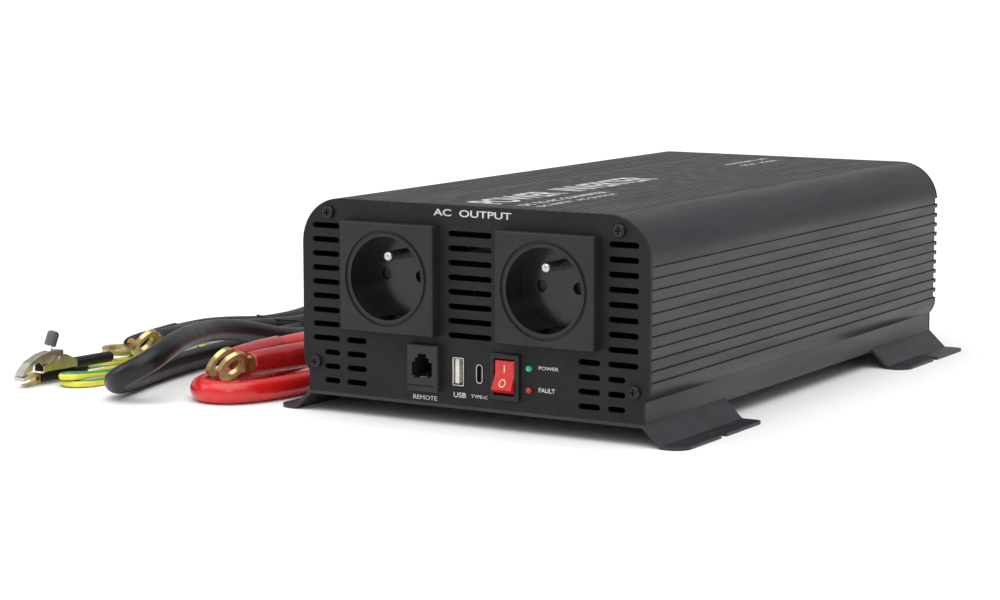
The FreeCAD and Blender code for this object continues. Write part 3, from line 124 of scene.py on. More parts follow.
# ---------------------------------------------------------------- materials
class Surface:
    """A procedural material on one Principled shader, in object coordinates."""

    def __init__(self, name):
        self.material = bpy.data.materials.new(name)
        self.material.use_nodes = True
        self.tree = self.material.node_tree
        self.shader = self.tree.nodes["Principled BSDF"]
        self.place = self.tree.nodes.new("ShaderNodeTexCoord").outputs["Object"]
        self.normal = None

    def node(self, kind, **values):
        made = self.tree.nodes.new("ShaderNode" + kind)
        for key, value in values.items():
            setattr(made, key, value)
        return made

    def join(self, source, target):
        self.tree.links.new(source, target)

    def noise(self, size_mm, detail=2.0, stretch=(1, 1, 1)):
        """Noise with blobs of about size_mm, longer along an axis where stretch is small."""
        mapping = self.node("Mapping")
        mapping.inputs["Scale"].default_value = stretch
        self.join(self.place, mapping.inputs["Vector"])
        noise = self.node("TexNoise")
        noise.inputs["Scale"].default_value = 1 / (size_mm * MM)
        noise.inputs["Detail"].default_value = detail
        self.join(mapping.outputs["Vector"], noise.inputs["Vector"])
        return noise.outputs["Fac"]

    def between(self, factor, low, high, start=0.3, stop=0.7):
        """Value from low to high as factor goes from start to stop."""
        spread = self.node("MapRange")
        for key, value in (("From Min", start), ("From Max", stop), ("To Min", low), ("To Max", high)):
            spread.inputs[key].default_value = value
        self.join(factor, spread.inputs["Value"])
        return spread.outputs["Result"]

    def colours(self, factor, stops):
        """Colour along a ramp of (place, colour) stops."""
        ramp = self.node("ValToRGB")
        elements = ramp.color_ramp.elements
        while len(elements) < len(stops):
            elements.new(0.5)
        for element, (place, colour) in zip(elements, stops):
            element.position = place
            element.color = (*colour, 1)
        self.join(factor, ramp.inputs["Fac"])
        return ramp.outputs["Color"]

    def round_edges(self, radius_mm):
        """Soften sharp edges in the shading, and give back a mask of them."""
        bevel = self.node("Bevel", samples=4)
        bevel.inputs["Radius"].default_value = radius_mm * MM
        self.normal = bevel.outputs["Normal"]
        dot = self.node("VectorMath", operation="DOT_PRODUCT")
        self.join(self.normal, dot.inputs[0])
        self.join(self.node("NewGeometry").outputs["Normal"], dot.inputs[1])
        return self.between(dot.outputs["Value"], 1.0, 0.0, 0.8, 0.99)

    def bump(self, height, strength, distance_mm):
        """Bump over the softened edges."""
        bump = self.node("Bump")
        bump.inputs["Strength"].default_value = strength
        bump.inputs["Distance"].default_value = distance_mm * MM
        self.join(height, bump.inputs["Height"])
        if self.normal:
            self.join(self.normal, bump.inputs["Normal"])
        self.normal = bump.outputs["Normal"]

    def done(self):
        if self.normal:
            self.join(self.normal, self.shader.inputs["Normal"])
        return self.material


COAT_ROUGH = 0.15
SCUFF_MM = 3.0                # size of the worn patches along an edge
SCUFF_FROM, SCUFF_TO = 0.42, 0.62
GLOSS_PATCH = 0.4             # patches of uneven gloss, as a part of the colour's


def finish_of(name, dark, light, rough, metal=0.0, patch_mm=18.0, grain_mm=0.5, grain=0.2, depth_mm=0.05,
              edge_mm=0.25, edge_light=0.0, coat=0.0, spread=0.06, stretch=(1, 1, 1), specular=0.5):
    """Colour that drifts between two tones, uneven gloss, fine grain and softened edges."""
    surface = Surface(name)
    shader = surface.shader
    shader.inputs["Metallic"].default_value = metal
    shader.inputs["Coat Weight"].default_value = coat
    shader.inputs["Coat Roughness"].default_value = COAT_ROUGH
    shader.inputs["Specular IOR Level"].default_value = specular
    edges = surface.round_edges(edge_mm)
    colour = surface.colours(surface.noise(patch_mm, 3.0, stretch), ((0.3, dark), (0.7, light)))
    if edge_light:
        mix = surface.node("Mix", data_type="RGBA")
        worn = tuple(min(1.0, c + edge_light) for c in light)
        mix.inputs["B"].default_value = (*worn, 1)
        scuffs = surface.between(surface.noise(SCUFF_MM, 4.0), 0.0, 1.0, SCUFF_FROM, SCUFF_TO)
        both = surface.node("Math", operation="MULTIPLY")
        surface.join(edges, both.inputs[0])
        surface.join(scuffs, both.inputs[1])
        surface.join(both.outputs[0], mix.inputs["Factor"])
        surface.join(colour, mix.inputs["A"])
        colour = mix.outputs["Result"]
    surface.join(colour, shader.inputs["Base Color"])
    gloss_patches = surface.noise(patch_mm * GLOSS_PATCH, 4.0, stretch)
    gloss = surface.between(gloss_patches, rough - spread, rough + spread)
    surface.join(gloss, shader.inputs["Roughness"])
    surface.bump(surface.noise(grain_mm, 3.0, stretch), grain, depth_mm)
    return surface.done()


# One finish for each material slot; colours are linear
FINISHES = {
    "housing": dict(dark=(0.020, 0.0225, 0.026), light=(0.026, 0.029, 0.033), rough=0.40, metal=0.35,
                    grain_mm=0.35, grain=0.10, stretch=(1, 0.12, 1), edge_light=0.05, edge_mm=0.3,
                    specular=0.45),
    "base_steel": dict(dark=(0.018, 0.020, 0.023), light=(0.026, 0.029, 0.033), rough=0.42, grain_mm=0.5,
                       grain=0.2, edge_light=0.06, edge_mm=0.3, specular=0.4),
    "panel": dict(dark=(0.0085, 0.0085, 0.0092), light=(0.012, 0.012, 0.013), rough=0.55, grain_mm=0.45,
                  grain=0.35, depth_mm=0.06, edge_light=0.04, specular=0.25),
    "label": dict(dark=(0.0045, 0.0045, 0.005), light=(0.006, 0.006, 0.0065), rough=0.36, grain_mm=1.5,
                  grain=0.03, depth_mm=0.02, specular=0.12),
    "screw": dict(dark=(0.012, 0.012, 0.013), light=(0.03, 0.03, 0.031), rough=0.32, metal=0.6,
                  patch_mm=2.0, grain_mm=0.2, grain=0.2, depth_mm=0.02),
    "outlet_plastic": dict(dark=(0.0125, 0.0125, 0.0145), light=(0.017, 0.017, 0.019), rough=0.48,
                           grain_mm=0.45, grain=0.35, depth_mm=0.06, edge_light=0.02, edge_mm=0.35,
                           specular=0.35),
    "shutter_plastic": dict(dark=(0.035, 0.035, 0.038), light=(0.05, 0.05, 0.053), rough=0.45),
    "nickel": dict(dark=(0.52, 0.49, 0.45), light=(0.66, 0.63, 0.58), rough=0.34, metal=1.0, patch_mm=4.0,
                   grain_mm=0.4, grain=0.08, depth_mm=0.02, edge_mm=0.15),
    "brass": dict(dark=(0.50, 0.37, 0.155), light=(0.64, 0.49, 0.23), rough=0.34, metal=1.0, patch_mm=8.0,
                  grain_mm=0.5, grain=0.06, depth_mm=0.02, edge_mm=0.25),
    "gold": dict(dark=(0.60, 0.48, 0.28), light=(0.75, 0.62, 0.38), rough=0.3, metal=1.0, patch_mm=3.0,
                 grain_mm=0.3, grain=0.1, edge_mm=0.1),
    "copper": dict(dark=(0.66, 0.30, 0.15), light=(0.85, 0.45, 0.26), rough=0.3, metal=1.0, patch_mm=6.0),
    "jack_plastic": dict(dark=(0.016, 0.0165, 0.019), light=(0.021, 0.022, 0.025), rough=0.42, grain_mm=0.3,
                         grain=0.2, depth_mm=0.03, edge_mm=0.15, specular=0.35),
    "white_plastic": dict(dark=(0.72, 0.70, 0.64), light=(0.80, 0.79, 0.74), rough=0.35, patch_mm=4.0,
                          edge_mm=0.1),
    "black_plastic": dict(dark=(0.009, 0.009, 0.010), light=(0.013, 0.013, 0.014), rough=0.42, grain=0.25,
                          specular=0.35),
    "circuit_board": dict(dark=(0.015, 0.10, 0.05), light=(0.02, 0.14, 0.07), rough=0.3, patch_mm=6.0),
    "red_rocker": dict(dark=(0.52, 0.012, 0.010), light=(0.62, 0.018, 0.014), rough=0.3, patch_mm=6.0,
                       grain_mm=0.3, grain=0.12, depth_mm=0.02, coat=0.2),
    "green_lens": dict(dark=(0.03, 0.30, 0.11), light=(0.05, 0.42, 0.17), rough=0.25, patch_mm=1.5,
                       coat=0.5),
    "red_lens": dict(dark=(0.30, 0.008, 0.01), light=(0.48, 0.02, 0.02), rough=0.25, patch_mm=1.5,
                     coat=0.5),
    "red_plastic": dict(dark=(0.45, 0.015, 0.015), light=(0.56, 0.02, 0.02), rough=0.4),
    "ferrite": dict(dark=(0.05, 0.05, 0.055), light=(0.075, 0.075, 0.08), rough=0.6, grain=0.5),
    "capacitor": dict(dark=(0.025, 0.04, 0.10), light=(0.035, 0.055, 0.13), rough=0.3, coat=0.3),
    "aluminium": dict(dark=(0.68, 0.69, 0.70), light=(0.80, 0.81, 0.82), rough=0.4, metal=1.0,
                      stretch=(1, 0.1, 1)),
    "fuse_plastic": dict(dark=(0.66, 0.46, 0.04), light=(0.76, 0.56, 0.06), rough=0.3),
    "red_rubber": dict(dark=(0.56, 0.006, 0.008), light=(0.66, 0.012, 0.012), rough=0.30, patch_mm=14.0,
                       grain_mm=1.6, grain=0.10, depth_mm=0.10, coat=0.35, spread=0.08),
    "black_rubber": dict(dark=(0.006, 0.006, 0.0065), light=(0.010, 0.010, 0.011), rough=0.36,
                         patch_mm=14.0, grain_mm=1.6, grain=0.10, depth_mm=0.10, spread=0.06,
                         specular=0.35),
    "red_sleeve": dict(dark=(0.33, 0.008, 0.010), light=(0.46, 0.014, 0.016), rough=0.26, patch_mm=6.0,
                       grain_mm=2.4, grain=0.3, depth_mm=0.15, coat=0.4, spread=0.08),
    "earth_yellow": dict(dark=(0.74, 0.66, 0.03), light=(0.82, 0.75, 0.06), rough=0.32, patch_mm=6.0,
                         coat=0.2),
    "grey_rubber": dict(dark=(0.075, 0.075, 0.08), light=(0.10, 0.10, 0.105), rough=0.5, patch_mm=4.0,
                        grain=0.3),
}
# Finishes that no CAD slot names
EXTRA_FINISHES = {
    "earth_green": dict(dark=(0.02, 0.24, 0.06), light=(0.03, 0.32, 0.09), rough=0.32, patch_mm=6.0,
                        coat=0.2),
    # Smoother moulding in the outlet recesses (real gloss), with a darker colour than the socket plastic that
    # is painted shade
    "recess_gloss_painted_shade": dict(dark=(0.006, 0.006, 0.007), light=(0.009, 0.009, 0.010), rough=0.22, patch_mm=8.0,
                         grain_mm=0.6, grain=0.05, edge_mm=0.2, spread=0.04),
    "print_white": dict(dark=(0.50, 0.50, 0.50), light=(0.62, 0.62, 0.61), rough=0.5, patch_mm=1.5,
                        grain=0.1),
    "print_cream": dict(dark=(0.72, 0.60, 0.55), light=(0.82, 0.72, 0.68), rough=0.45, patch_mm=1.5,
                        grain=0.1),
}
MATERIALS = {name: finish_of(name, **values)
             for name, values in {**FINISHES, **EXTRA_FINISHES}.items()}


def dress_cad():
    """Give every CAD node the material of its slot."""
    for part in frame["record"]["subparts"]:
        obj = NODES[part["node"]]
        obj.data.materials.clear()
        obj.data.materials.append(MATERIALS[part["material_slot"]])


RECESS_R = 19.4
RECESS_FROM = 0.4             # depth behind the socket's front at which the recess begins


def gloss_and_shade_recesses():
    """The round outlet recesses are moulded smooth, inside their lip rings; their colour is darker than the
    socket plastic, and that darkening is painted shade.
    """
    for node in ("ac_socket_left", "ac_socket_right"):
        low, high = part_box(node)
        middle = (low + high) / 2
        data = NODES[node].data
        # Faces inside the recess get the glossier material, whose darker colour is painted shade
        data.materials.append(MATERIALS["recess_gloss_painted_shade"])
        for face in data.polygons:
            away = Vector((face.center.x - middle.x, 0, face.center.z - middle.z)).length
            if away < RECESS_R * MM and face.center.y > low.y + RECESS_FROM * MM:
                face.material_index = 1


# ---------------------------------------------------------------- cords
CABLE_R = 5.5
LEAD_R = 1.7
LUG_REACH = 32.0          # ring centre to the end of the barrel
LUG_STRAIGHT = 66.0       # the cable keeps the lug's direction up to here
FLOOR_C = CABLE_R + 0.2    # height of a cable's middle where it lies on the floor
FLOOR_L = LEAD_R + 0.2
STUD_X = -60.0
STUD_LINE_Y = 344.0       # barrel line of the lugs on the studs
TO_LEFT = (-1, 0, 0)

# Battery cables: height of the stud, the free lug's ring centre and direction, length in metres, and the
# route from the stud's lug to the free one
CORDS = {
    "positive_cable_a": dict(
        stud_z=28, lug=(-146.5, 7, 17.4), to=(-0.04, 1.0, 0.0), length=0.359,
        route=[(-151, 327, 16), (-164, 292, 6.5), (-169, 242, FLOOR_C), (-171, 190, FLOOR_C), (-167, 142, 8),
               (-154.5, 108, 14.8)]),
    "positive_cable_b": dict(
        stud_z=48, lug=(-136, 3, 16.8), to=(0.17, 0.985, 0.0), length=0.891,
        route=[(-156, 331, 33), (-177, 298, 12), (-185, 246, FLOOR_C), (-184, 190, FLOOR_C),
               (-179, 138, FLOOR_C), (-165, 92, FLOOR_C), (-157, 50, FLOOR_C), (-157.5, 14, FLOOR_C),
               (-149, -8.5, FLOOR_C), (-130, -9, FLOOR_C), (-119, 14, FLOOR_C), (-117, 54, FLOOR_C),
               (-113, 88, FLOOR_C), (-103, 118, FLOOR_C), (-99, 152, FLOOR_C), (-100, 190, FLOOR_C),
               (-110, 215, FLOOR_C), (-130, 224, FLOOR_C), (-149, 213, FLOOR_C), (-157, 182, FLOOR_C),
               (-148, 143, 8), (-135, 105, 14.5)]),
    "negative_cable_b": dict(
        stud_z=68, lug=(-253, 59, 7.6), to=(-0.02, 1.0, 0.04), length=0.985,
        route=[(-161, 335, 55), (-188, 308, 32), (-201, 266, 12), (-203, 216, FLOOR_C), (-200, 168, FLOOR_C),
               (-198, 134, 8), (-200, 100, 17), (-198, 70, 21.5), (-188, 42, 23.5), (-177, 16, 25),
               (-168.5, -6, 24), (-165.5, -22.6, 20), (-171.9, -29, 15.8), (-181, -29, 11.3),
               (-187.5, -22.6, 7.8), (-192, -8, 5.9), (-199, 17, FLOOR_C), (-204.5, 42, FLOOR_C),
               (-208, 68, FLOOR_C), (-211, 98, FLOOR_C), (-216, 138, FLOOR_C), (-218.5, 180, FLOOR_C),
               (-216, 216, FLOOR_C), (-215, 246, FLOOR_C), (-226, 268, FLOOR_C), (-246, 271, FLOOR_C),
               (-258, 253, FLOOR_C), (-252, 228, FLOOR_C), (-247, 204, FLOOR_C), (-249, 180, FLOOR_C),
               (-253.5, 155, 8.4)]),
    "negative_cable_a": dict(
        stud_z=88, lug=(-224.5, 46, 15.4), to=(-0.08, 0.99, -0.03), length=0.376,
        route=[(-162, 337, 76), (-194, 318, 54), (-216, 292, 35), (-227, 264, 21.5), (-230, 236, 8),
               (-230, 200, FLOOR_C), (-229.5, 158, 8.5)]),
}
EARTH_ROUTE = [(-43, 337, 28), (-43, 337, 15), (-50, 344, 5.5), (-66, 350, FLOOR_L), (-98, 354, FLOOR_L),
               (-142, 354, FLOOR_L), (-190, 349, FLOOR_L), (-236, 334, FLOOR_L), (-266, 306, FLOOR_L),
               (-274, 268, FLOOR_L), (-268, 236, FLOOR_L), (-259, 210, FLOOR_L), (-259, 184, FLOOR_L),
               (-264, 158, FLOOR_L), (-262, 136, FLOOR_L), (-247, 122, FLOOR_L), (-229, 110, FLOOR_L),
               (-220, 86, FLOOR_L), (-218.5, 54, FLOOR_L), (-217, 28, FLOOR_L), (-216.6, 6, FLOOR_L),
               (-220, -6, FLOOR_L), (-228.5, -11, FLOOR_L), (-236, -5, FLOOR_L), (-238.5, 8, FLOOR_L),
               (-238.4, 32, FLOOR_L), (-237, 58, FLOOR_L), (-235.5, 76, 2.6), (-228, 84, 4.4),
               (-220.5, 78, 5.6), (-218, 60, 5.7), (-217.5, 34, 5.7), (-219, 8, 5.7), (-223, -8, 5.6),
               (-230.5, -13, 5.5), (-235, -4, 5.2), (-233.5, 11, 3), (-232.5, 28, FLOOR_L),
               (-233, 44, 2.8), (-235.5, 57, 5.5), (-240, 66, 5.5), (-246.5, 68, 3.4),
               (-251.5, 62, FLOOR_L), (-252.3, 50, 2.2), (-251, 40, 2.7), (-249.8, 28, 3.2)]
CORD_STEPS, CORD_ROUNDNESS = 10, 7


def along(start, direction, distance):
    """Point at a distance from start."""
    return Vector(start) + Vector(direction).normalized() * distance


def spline(name, route, bevel_mm=0.0):
    """Curve of one open NURBS spline over the route's points."""
    return curve_over(name, route, bevel_mm, CORD_STEPS, CORD_ROUNDNESS)


def battery_cables():
    """Four insulated cables, each between a stud's lug and a free lug, with a sleeve over both."""
    for name, cord in CORDS.items():
        colour = "red" if name.startswith("positive") else "black"
        stud = (STUD_X, STUD_LINE_Y, cord["stud_z"])
        first = [along(stud, TO_LEFT, d) for d in (LUG_REACH, LUG_STRAIGHT)]
        last = [along(cord["lug"], cord["to"], d) for d in (LUG_STRAIGHT, LUG_REACH)]
        slot = colour + "_rubber"
        line = spline(name, first + cord["route"] + last, CABLE_R)
        cable = link(name + "_insulation", line, MATERIALS[slot])
        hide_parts(name)
        sleeves = [sleeve(name + "_sleeve_stud", stud, TO_LEFT, colour, STUD_SLEEVE_START),
                   sleeve(name + "_sleeve_free", cord["lug"], cord["to"], colour, FREE_SLEEVE_START)]


def swept_tube(path, radius, sides, turn_per_m=0.0):
    """Closed tube mesh along points, its sides turning about the line."""
    mesh = bmesh.new()
    rings = []
    side = Vector((0, 0, 1)).cross(path[1] - path[0])
    if side.length < 1e-6:    # the path starts upright
        side = Vector((1, 0, 0))
    travelled = 0.0
    for i, point in enumerate(path):
        before, after = path[max(i - 1, 0)], path[min(i + 1, len(path) - 1)]
        forward = (after - before).normalized()
        side = (side - forward * side.dot(forward)).normalized()
        other = forward.cross(side)
        travelled += (point - before).length
        start = travelled * turn_per_m
        angles = [start + 2 * math.pi * k / sides for k in range(sides)]
        spokes = [side * math.cos(a) + other * math.sin(a) for a in angles]
        rings.append([mesh.verts.new(point + spoke * radius) for spoke in spokes])
    bridge(mesh, rings)
    mesh.faces.new(list(reversed(rings[0])))
    mesh.faces.new(rings[-1])
    return mesh_data(mesh, "tube", smooth=True)


def line_points(curve):
    """Points of a curve's own line, in order."""
    mesh = as_mesh("line", curve)
    points = [v.co.copy() for v in mesh.vertices]
    bpy.data.meshes.remove(mesh)
    return points


EARTH_SIDES = 20
GREEN_SIDES = (0, 1, 2, 3, 10, 11, 12, 13)    # two green stripes, the rest yellow
STRIPE_TURN = 28.0            # how far the stripes turn round the lead, in radians for each metre


def earth_lead():
    """Yellow lead with two green stripes winding round it, out to the crocodile clip."""
    path = line_points(spline("earth_line", EARTH_ROUTE))
    tube = swept_tube(path, LEAD_R * MM, EARTH_SIDES, STRIPE_TURN)
    lead = link("earth_lead_insulation", tube, MATERIALS["earth_yellow"])
    tube.materials.append(MATERIALS["earth_green"])
    wall = (len(path) - 1) * EARTH_SIDES    # faces before the two end caps
    for face in tube.polygons:
        if face.index < wall and face.index % EARTH_SIDES in GREEN_SIDES:
            face.material_index = 1
    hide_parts("earth_lead")


# Heat-shrink profile: distance from the ring's centre and radius, in mm
STUD_SLEEVE_START = ((20.3, 5.05), (20.5, 5.7), (22.0, 5.85))
FREE_SLEEVE_START = ((10.8, 4.7), (10.9, 5.2), (12.0, 5.5), (15.5, 5.75), (21.0, 5.9))
SLEEVE_PROFILE = ((26.0, 5.95), (30.5, 6.05), (33.5, 6.2), (40.0, 6.25), (47.5, 6.2), (49.6, 6.15),
                  (49.9, 5.4))
SLEEVE_SIDES = 40
BROAD_FOLD, FINE_FOLD = 0.07, 0.04    # heights of the sleeve's folds


def sleeve(name, centre, direction, colour, start):
    """Heat-shrink tube over a lug's barrel and the first of the cable, with soft folds."""
    slot = "red_sleeve" if colour == "red" else "black_rubber"
    forward = Vector(direction).normalized()
    side = forward.cross(Vector((0, 0, 1))).normalized()
    other = forward.cross(side)
    phase = random.uniform(0, 6)
    mesh = bmesh.new()
    rings = []
    for distance, radius in start + SLEEVE_PROFILE:
        middle = along(centre, direction, distance)
        ring = []
        for k in range(SLEEVE_SIDES):
            a = 2 * math.pi * k / SLEEVE_SIDES
            fold = (BROAD_FOLD * math.sin(3 * a + phase + distance * 0.22)
                    + FINE_FOLD * math.sin(7 * a - distance * 0.5))
            spot = middle + (side * math.cos(a) + other * math.sin(a)) * (radius + fold)
            ring.append(mesh.verts.new(at(*spot)))
        rings.append(ring)
    bridge(mesh, rings + rings[:1])
    piece = link(name, mesh_data(mesh, name, smooth=True), MATERIALS[slot])
    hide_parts("positive_sleeves" if colour == "red" else "negative_sleeves")
    return piece


# ---------------------------------------------------------------- printing
PRINT_T = 0.06            # thickness of the printed ink, mm
PRINT_CLEAR = 0.01        # gap that keeps the ink off the face beneath it, mm
TEXT_EXTRUDE = 0.1
FRONT_SWELL, LABEL_SWELL = 0.018, 0.02    # how much bolder the letters are than the font


def face_finder(node):
    """Search tree over a node's faces."""
    data = NODES[node].data
    return BVHTree.FromPolygons([v.co for v in data.vertices], [p.vertices for p in data.polygons])


def laid_on(mesh, node):
    """Lay a flat mesh, drawn in X and Z with its thickness in Y, on the front of a node."""
    tree = face_finder(node)
    for vertex in mesh.vertices:
        away = vertex.co.y
        hit = tree.ray_cast(Vector((vertex.co.x, FRONT_Y - 0.05, vertex.co.z)), Vector((0, 1, 0)))[0]
        vertex.co.y = hit.y - away


def word_mesh(name, words, swell):
    """Mesh of a line of words, its points from 0 to 1 along the words, up the letters and through the ink."""
    curve = bpy.data.curves.new(name, "FONT")
    curve.body = words
    curve.extrude = TEXT_EXTRUDE
    curve.offset = swell
    mesh = as_mesh(name, curve)
    low = [min(v.co[i] for v in mesh.vertices) for i in range(3)]
    size = [max(v.co[i] for v in mesh.vertices) - low[i] for i in range(3)]
    for vertex in mesh.vertices:
        vertex.co = Vector([(vertex.co[i] - low[i]) / size[i] for i in range(3)])
    mesh.materials.clear()
    return mesh


def printed(name, words, x0, x1, z0, z1):
    """Words printed on the front panel, fitted to a box in mm; z is above the case's underside."""
    mesh = word_mesh(name, words, FRONT_SWELL)
    for vertex in mesh.vertices:
        x, z, depth = vertex.co
        vertex.co = Vector(((x0 + (x1 - x0) * x) * MM, (depth * PRINT_T + PRINT_CLEAR) * MM,
                            CASE_Z + (z0 + (z1 - z0) * z) * MM))
    laid_on(mesh, "front_panel")
    mesh.flip_normals()
    link(name, mesh, MATERIALS["print_white"])


MARK_CIRCLE = [(math.cos(2 * math.pi * k / 40), math.sin(2 * math.pi * k / 40)) for k in range(40)]
MARK_BAR = [(-0.25, -1.7), (0.25, -1.7), (0.25, 1.7), (-0.25, 1.7)]
# Name, height as a part of the rocker's, outline in mm, and its inner and outer sizes
ROCKER_MARKS = (("rocker_mark_off", 0.33, MARK_CIRCLE, 1.3, 1.75),
                ("rocker_mark_on", 0.75, MARK_BAR, 0.05, 1.0))


def rocker_marks():
    """Pale ring and bar printed on the rocker's two halves."""
    low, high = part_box("power_rocker")
    middle = (low + high) / 2
    for name, z_part, outline, inner, outer in ROCKER_MARKS:
        height = low.z + (high.z - low.z) * z_part
        mesh = bmesh.new()
        rings = []
        for size, away in ((inner, PRINT_CLEAR), (inner, PRINT_T), (outer, PRINT_T), (outer, PRINT_CLEAR)):
            rings.append([mesh.verts.new((middle.x + size * x * MM, away * MM, height + size * z * MM))
                          for x, z in outline])
        bridge(mesh, rings + rings[:1])
        data = mesh_data(mesh, name)
        laid_on(data, "power_rocker")
        link(name, data, MATERIALS["print_cream"], "power_rocker")


# Name, words, left, right, bottom and top in mm
FRONT_WORDS = (("outlet_heading", "AC  OUTPUT", -19.2, 21.8, 85.9, 89.1),
               ("remote_word", "REMOTE", -30.5, -17.5, 1.1, 3.2),
               ("charge_word", "USB", -8.6, -2.0, 3.7, 6.1),
               ("charge_c_word", "TYPE-C", 0.7, 9.4, 4.2, 5.7),
               ("power_word", "POWER", 36.0, 46.2, 20.0, 21.6),
               ("fault_word", "FAULT", 36.0, 44.4, 9.8, 11.9))
# Name, words, place across the label, letter height in mm, and its start and end behind the front
LABEL_LINES = (("label_title", "POWER  INVERTER", 0.60, 19.0, 14.0, 168.0),
               ("label_line_a", "DC TO AC CONVERTER", 0.80, 5.5, 14.0, 92.0),
               ("label_line_b", "DC INPUT  AC OUTPUT", 0.92, 4.0, 14.0, 86.0),
               ("label_line_c", "POWER SUPPLY UNIT", 0.50, 4.0, 262.0, 312.0),
               ("label_line_d", "DC IN    AC OUT", 0.64, 4.0, 262.0, 304.0))


def front_printing():
    """Every word on the front panel."""
    for line in FRONT_WORDS:
        printed(*line)


def label_printing():
    """Plain wording on the top label, reading from front to rear."""
    low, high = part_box("top_label")
    for name, words, x_part, height, y0, y1 in LABEL_LINES:
        mesh = word_mesh(name, words, LABEL_SWELL)
        x_low = low.x + (high.x - low.x) * x_part
        for vertex in mesh.vertices:
            forth, up, depth = vertex.co
            vertex.co = Vector((x_low - height * MM * up, FRONT_Y + (y0 + (y1 - y0) * forth) * MM,
                                high.z + (PRINT_CLEAR + PRINT_T * depth) * MM))
        link(name, mesh, MATERIALS["print_white"])


# ---------------------------------------------------------------- small pieces
WIRE_STEPS, WIRE_ROUNDNESS = 6, 3


def wire(name, points, radius_mm, finish, closed=False):
    """Bent wire along points in mm, on the case."""
    curve = curve_over(name, points, radius_mm, WIRE_STEPS, WIRE_ROUNDNESS, closed)
    return link(name, curve, MATERIALS[finish])


TIE_LEFT = Vector((-229.6, 160, 7.3))     # middle of the cable that it holds on the left
TIE_RIGHT = Vector((-217.4, 172, 5.9))
TIE_R = 0.55
TIE_BEND_STEPS = 9        # points round each of its two bends
TIE_TWIST_STEPS = 22      # points along the twisted ends
TIE_TWIST = 1.3           # turn from one of them to the next, radians
TIE_TWIST_STEP = 0.32     # and the distance between them, mm
TIE_CLEAR = 0.4           # gap between the twisted ends and the loop


def twist_tie():
    """Thin tie wound slantwise round two black cables, with its ends twisted together."""
    reach = CABLE_R + TIE_R
    loop = []
    for middle, first in ((TIE_LEFT, math.pi / 2), (TIE_RIGHT, -math.pi / 2)):
        for k in range(TIE_BEND_STEPS):
            a = first + math.pi * k / (TIE_BEND_STEPS - 1)
            loop.append((middle.x + reach * math.cos(a), middle.y + 0.5 * math.sin(2 * a),
                         max(middle.z + reach * math.sin(a), TIE_R)))
    wire("twist_tie", loop, TIE_R, "black_plastic", closed=True)
    ends = []
    for k in range(TIE_TWIST_STEPS):
        a = TIE_TWIST * k
        ends.append((TIE_LEFT.x - 1.5 - TIE_TWIST_STEP * k + 0.5 * math.cos(a),
                     TIE_LEFT.y + 0.6 * math.sin(a),
                     TIE_LEFT.z + reach + TIE_CLEAR + 0.05 * k))
    wire("twist_tie_ends", ends, TIE_R, "black_plastic")


CLIP_PIVOT = Vector((-244.0, 0.0, 12.0))
CLIP_TO_TAIL = Vector((0.1, 0.99, 0.0)).normalized()
SPRING_R, SPRING_WIRE_R, SPRING_TURNS = 1.75, 0.28, 4
SPRING_HALF = 1.5         # half its length along the pin
SPRING_SIDES = 12         # points in each turn


def clip_spring():
    """Torsion spring round the clip's pin, its legs against the fixed jaw and the lever."""
    across = Vector((0, 0, 1)).cross(CLIP_TO_TAIL)
    points = []
    steps = SPRING_SIDES * SPRING_TURNS
    for k in range(steps + 1):
        a = 2 * math.pi * k / SPRING_SIDES
        side = -SPRING_HALF + 2 * SPRING_HALF * k / steps
        points.append(CLIP_PIVOT + CLIP_TO_TAIL * SPRING_R * math.sin(a) + across * side
                      + Vector((0, 0, -SPRING_R * math.cos(a))))
    leg = [points[0] + CLIP_TO_TAIL * x + Vector((0, 0, -z)) for x, z in ((7.0, 1.9), (3.5, 1.2))]
    tip = [points[-1] + CLIP_TO_TAIL * x for x in (-2.0, -4.5)]
    wire("clip_spring", [tuple(p) for p in leg + points + tip], SPRING_WIRE_R, "nickel")


CONTACTS = 4
# Distance behind the tongue's front in mm, and rise as a part of the gap beside the tongue
CONTACT_BOWS = ((0.4, 0.15), (1.2, 0.55), (2.2, 0.9), (3.4, 0.6), (6.0, 0.25))


def charge_contacts():
    """Bowed contact springs on the tongue of the larger charging port."""
    low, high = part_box("usb_a_tongue")
    shell_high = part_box("usb_a_shell")[1]
    gap = min(1.2 * MM, (shell_high.x - high.x) * 0.5)
    pitch = (high.z - low.z) / (CONTACTS + 0.4)
    root = high.x - 0.02 * MM     # just inside the tongue
    half_w = 0.5 * MM
    for k in range(CONTACTS):
        z = (low.z + high.z) / 2 + (k - (CONTACTS - 1) / 2) * pitch
        mesh = bmesh.new()
        rings = []
        for y, lift in CONTACT_BOWS:
            crest = high.x + lift * gap
            corners = ((root, -half_w), (crest, -half_w), (crest, half_w), (root, half_w))
            rings.append([mesh.verts.new((x, low.y + y * MM, z + dz)) for x, dz in corners])
        bridge(mesh, rings)
        mesh.faces.new(rings[0])
        mesh.faces.new(rings[-1])
        link("charge_contact_" + str(k + 1), mesh_data(mesh, "charge_contact"), MATERIALS["gold"])


# ---------------------------------------------------------------- studio
CAMERA_PLACE = (0.59693, -1.13806, 0.21248)
CAMERA_DOWN, CAMERA_TURN = 7.742, 31.158      # degrees below level, and left of straight ahead
CAMERA_LENS, CAMERA_SENSOR = 91.47, 36.0
CAMERA_NEAR = 0.05
FLOOR_HALF = 30.0
ROOM_LIGHT = 0.5
ROOM_COLOUR = (0.97, 0.985, 1, 1)
OVERHEAD_LIGHT = 2.4
OVERHEAD_SPREAD = 75          # degrees of sky that the overhead light comes from
OVERHEAD_TILT = (14, 8, 0)
# Name, place, size in metres, and power in watts
LAMPS = (("left_light", (-1.5, -0.9, 0.9), (0.8, 1.0), 7.0),
         ("front_light", (0.9, -1.7, 0.8), (0.6, 0.8), 3.0))
LAMP_AIM = Vector((-0.05, 0, 0.05))


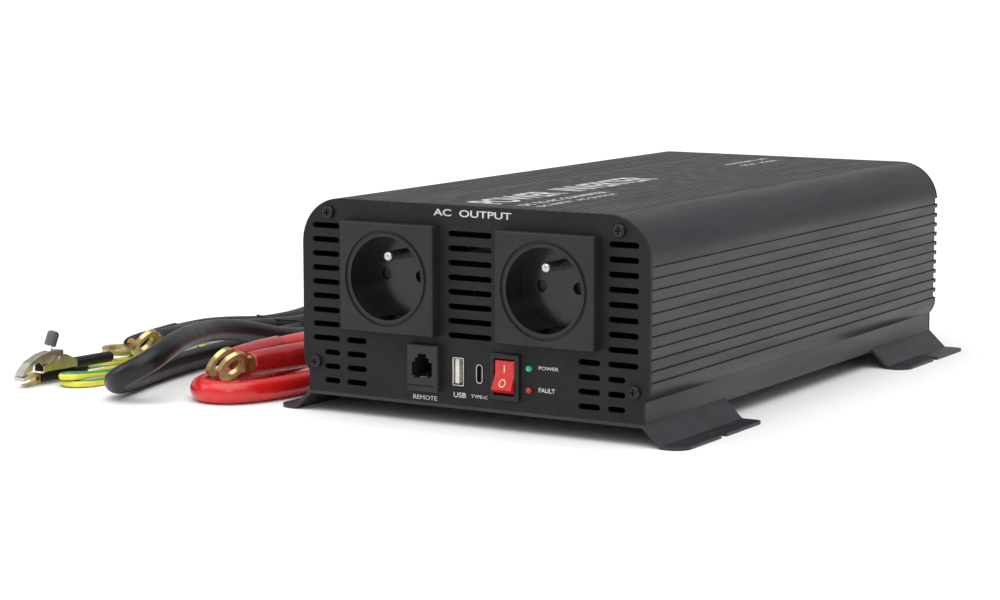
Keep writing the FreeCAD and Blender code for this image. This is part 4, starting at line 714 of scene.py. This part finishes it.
def camera():
    """Camera at the angle that the part is shown from."""
    lens = bpy.data.cameras.new("camera")
    lens.lens = CAMERA_LENS
    lens.sensor_width = CAMERA_SENSOR
    lens.clip_start = CAMERA_NEAR
    view = placed("camera", lens)
    view.location = CAMERA_PLACE
    view.rotation_euler = (math.radians(90 - CAMERA_DOWN), 0.0, math.radians(CAMERA_TURN))
    bpy.context.scene.camera = view


def paper_floor():
    """Wide plain floor, which isn't part of the object."""
    mesh = bpy.data.meshes.new("floor")
    corners = [(-FLOOR_HALF, -FLOOR_HALF, 0), (FLOOR_HALF, -FLOOR_HALF, 0), (FLOOR_HALF, FLOOR_HALF, 0),
               (-FLOOR_HALF, FLOOR_HALF, 0)]
    mesh.from_pydata(corners, [], [(0, 1, 2, 3)])
    floor = placed("floor", mesh)
    paper = finish_of("paper", (0.93, 0.93, 0.93), (0.95, 0.95, 0.95), 0.9, patch_mm=400.0, grain=0.02)
    mesh.materials.append(paper)


def room():
    """Soft even light from all round, with plain white where the camera sees past the floor."""
    world = bpy.data.worlds.new("studio")
    world.use_nodes = True
    nodes, links = world.node_tree.nodes, world.node_tree.links
    back = nodes["Background"]
    back.inputs["Color"].default_value = ROOM_COLOUR
    back.inputs["Strength"].default_value = ROOM_LIGHT
    white = nodes.new("ShaderNodeBackground")
    mix = nodes.new("ShaderNodeMixShader")
    links.new(nodes.new("ShaderNodeLightPath").outputs["Is Camera Ray"], mix.inputs[0])
    links.new(back.outputs[0], mix.inputs[1])
    links.new(white.outputs[0], mix.inputs[2])
    links.new(mix.outputs[0], nodes["World Output"].inputs["Surface"])
    bpy.context.scene.world = world


def lights():
    """A broad overhead light and two soft lamps."""
    sky = bpy.data.lights.new("overhead", "SUN")
    sky.energy = OVERHEAD_LIGHT
    sky.angle = math.radians(OVERHEAD_SPREAD)
    placed("overhead", sky).rotation_euler = [math.radians(turn) for turn in OVERHEAD_TILT]
    for name, place, size, power in LAMPS:
        light = bpy.data.lights.new(name, "AREA")
        light.shape = "RECTANGLE"
        light.size, light.size_y = size
        light.energy = power
        lamp = placed(name, light)
        lamp.location = place
        lamp.rotation_euler = (LAMP_AIM - Vector(place)).to_track_quat("-Z", "Y").to_euler()


dress_cad()
gloss_and_shade_recesses()
battery_cables()
earth_lead()
twist_tie()
clip_spring()
charge_contacts()
front_printing()
rocker_marks()
label_printing()
camera()
paper_floor()
room()
lights()
bpy.context.scene.view_settings.view_transform = "Standard"
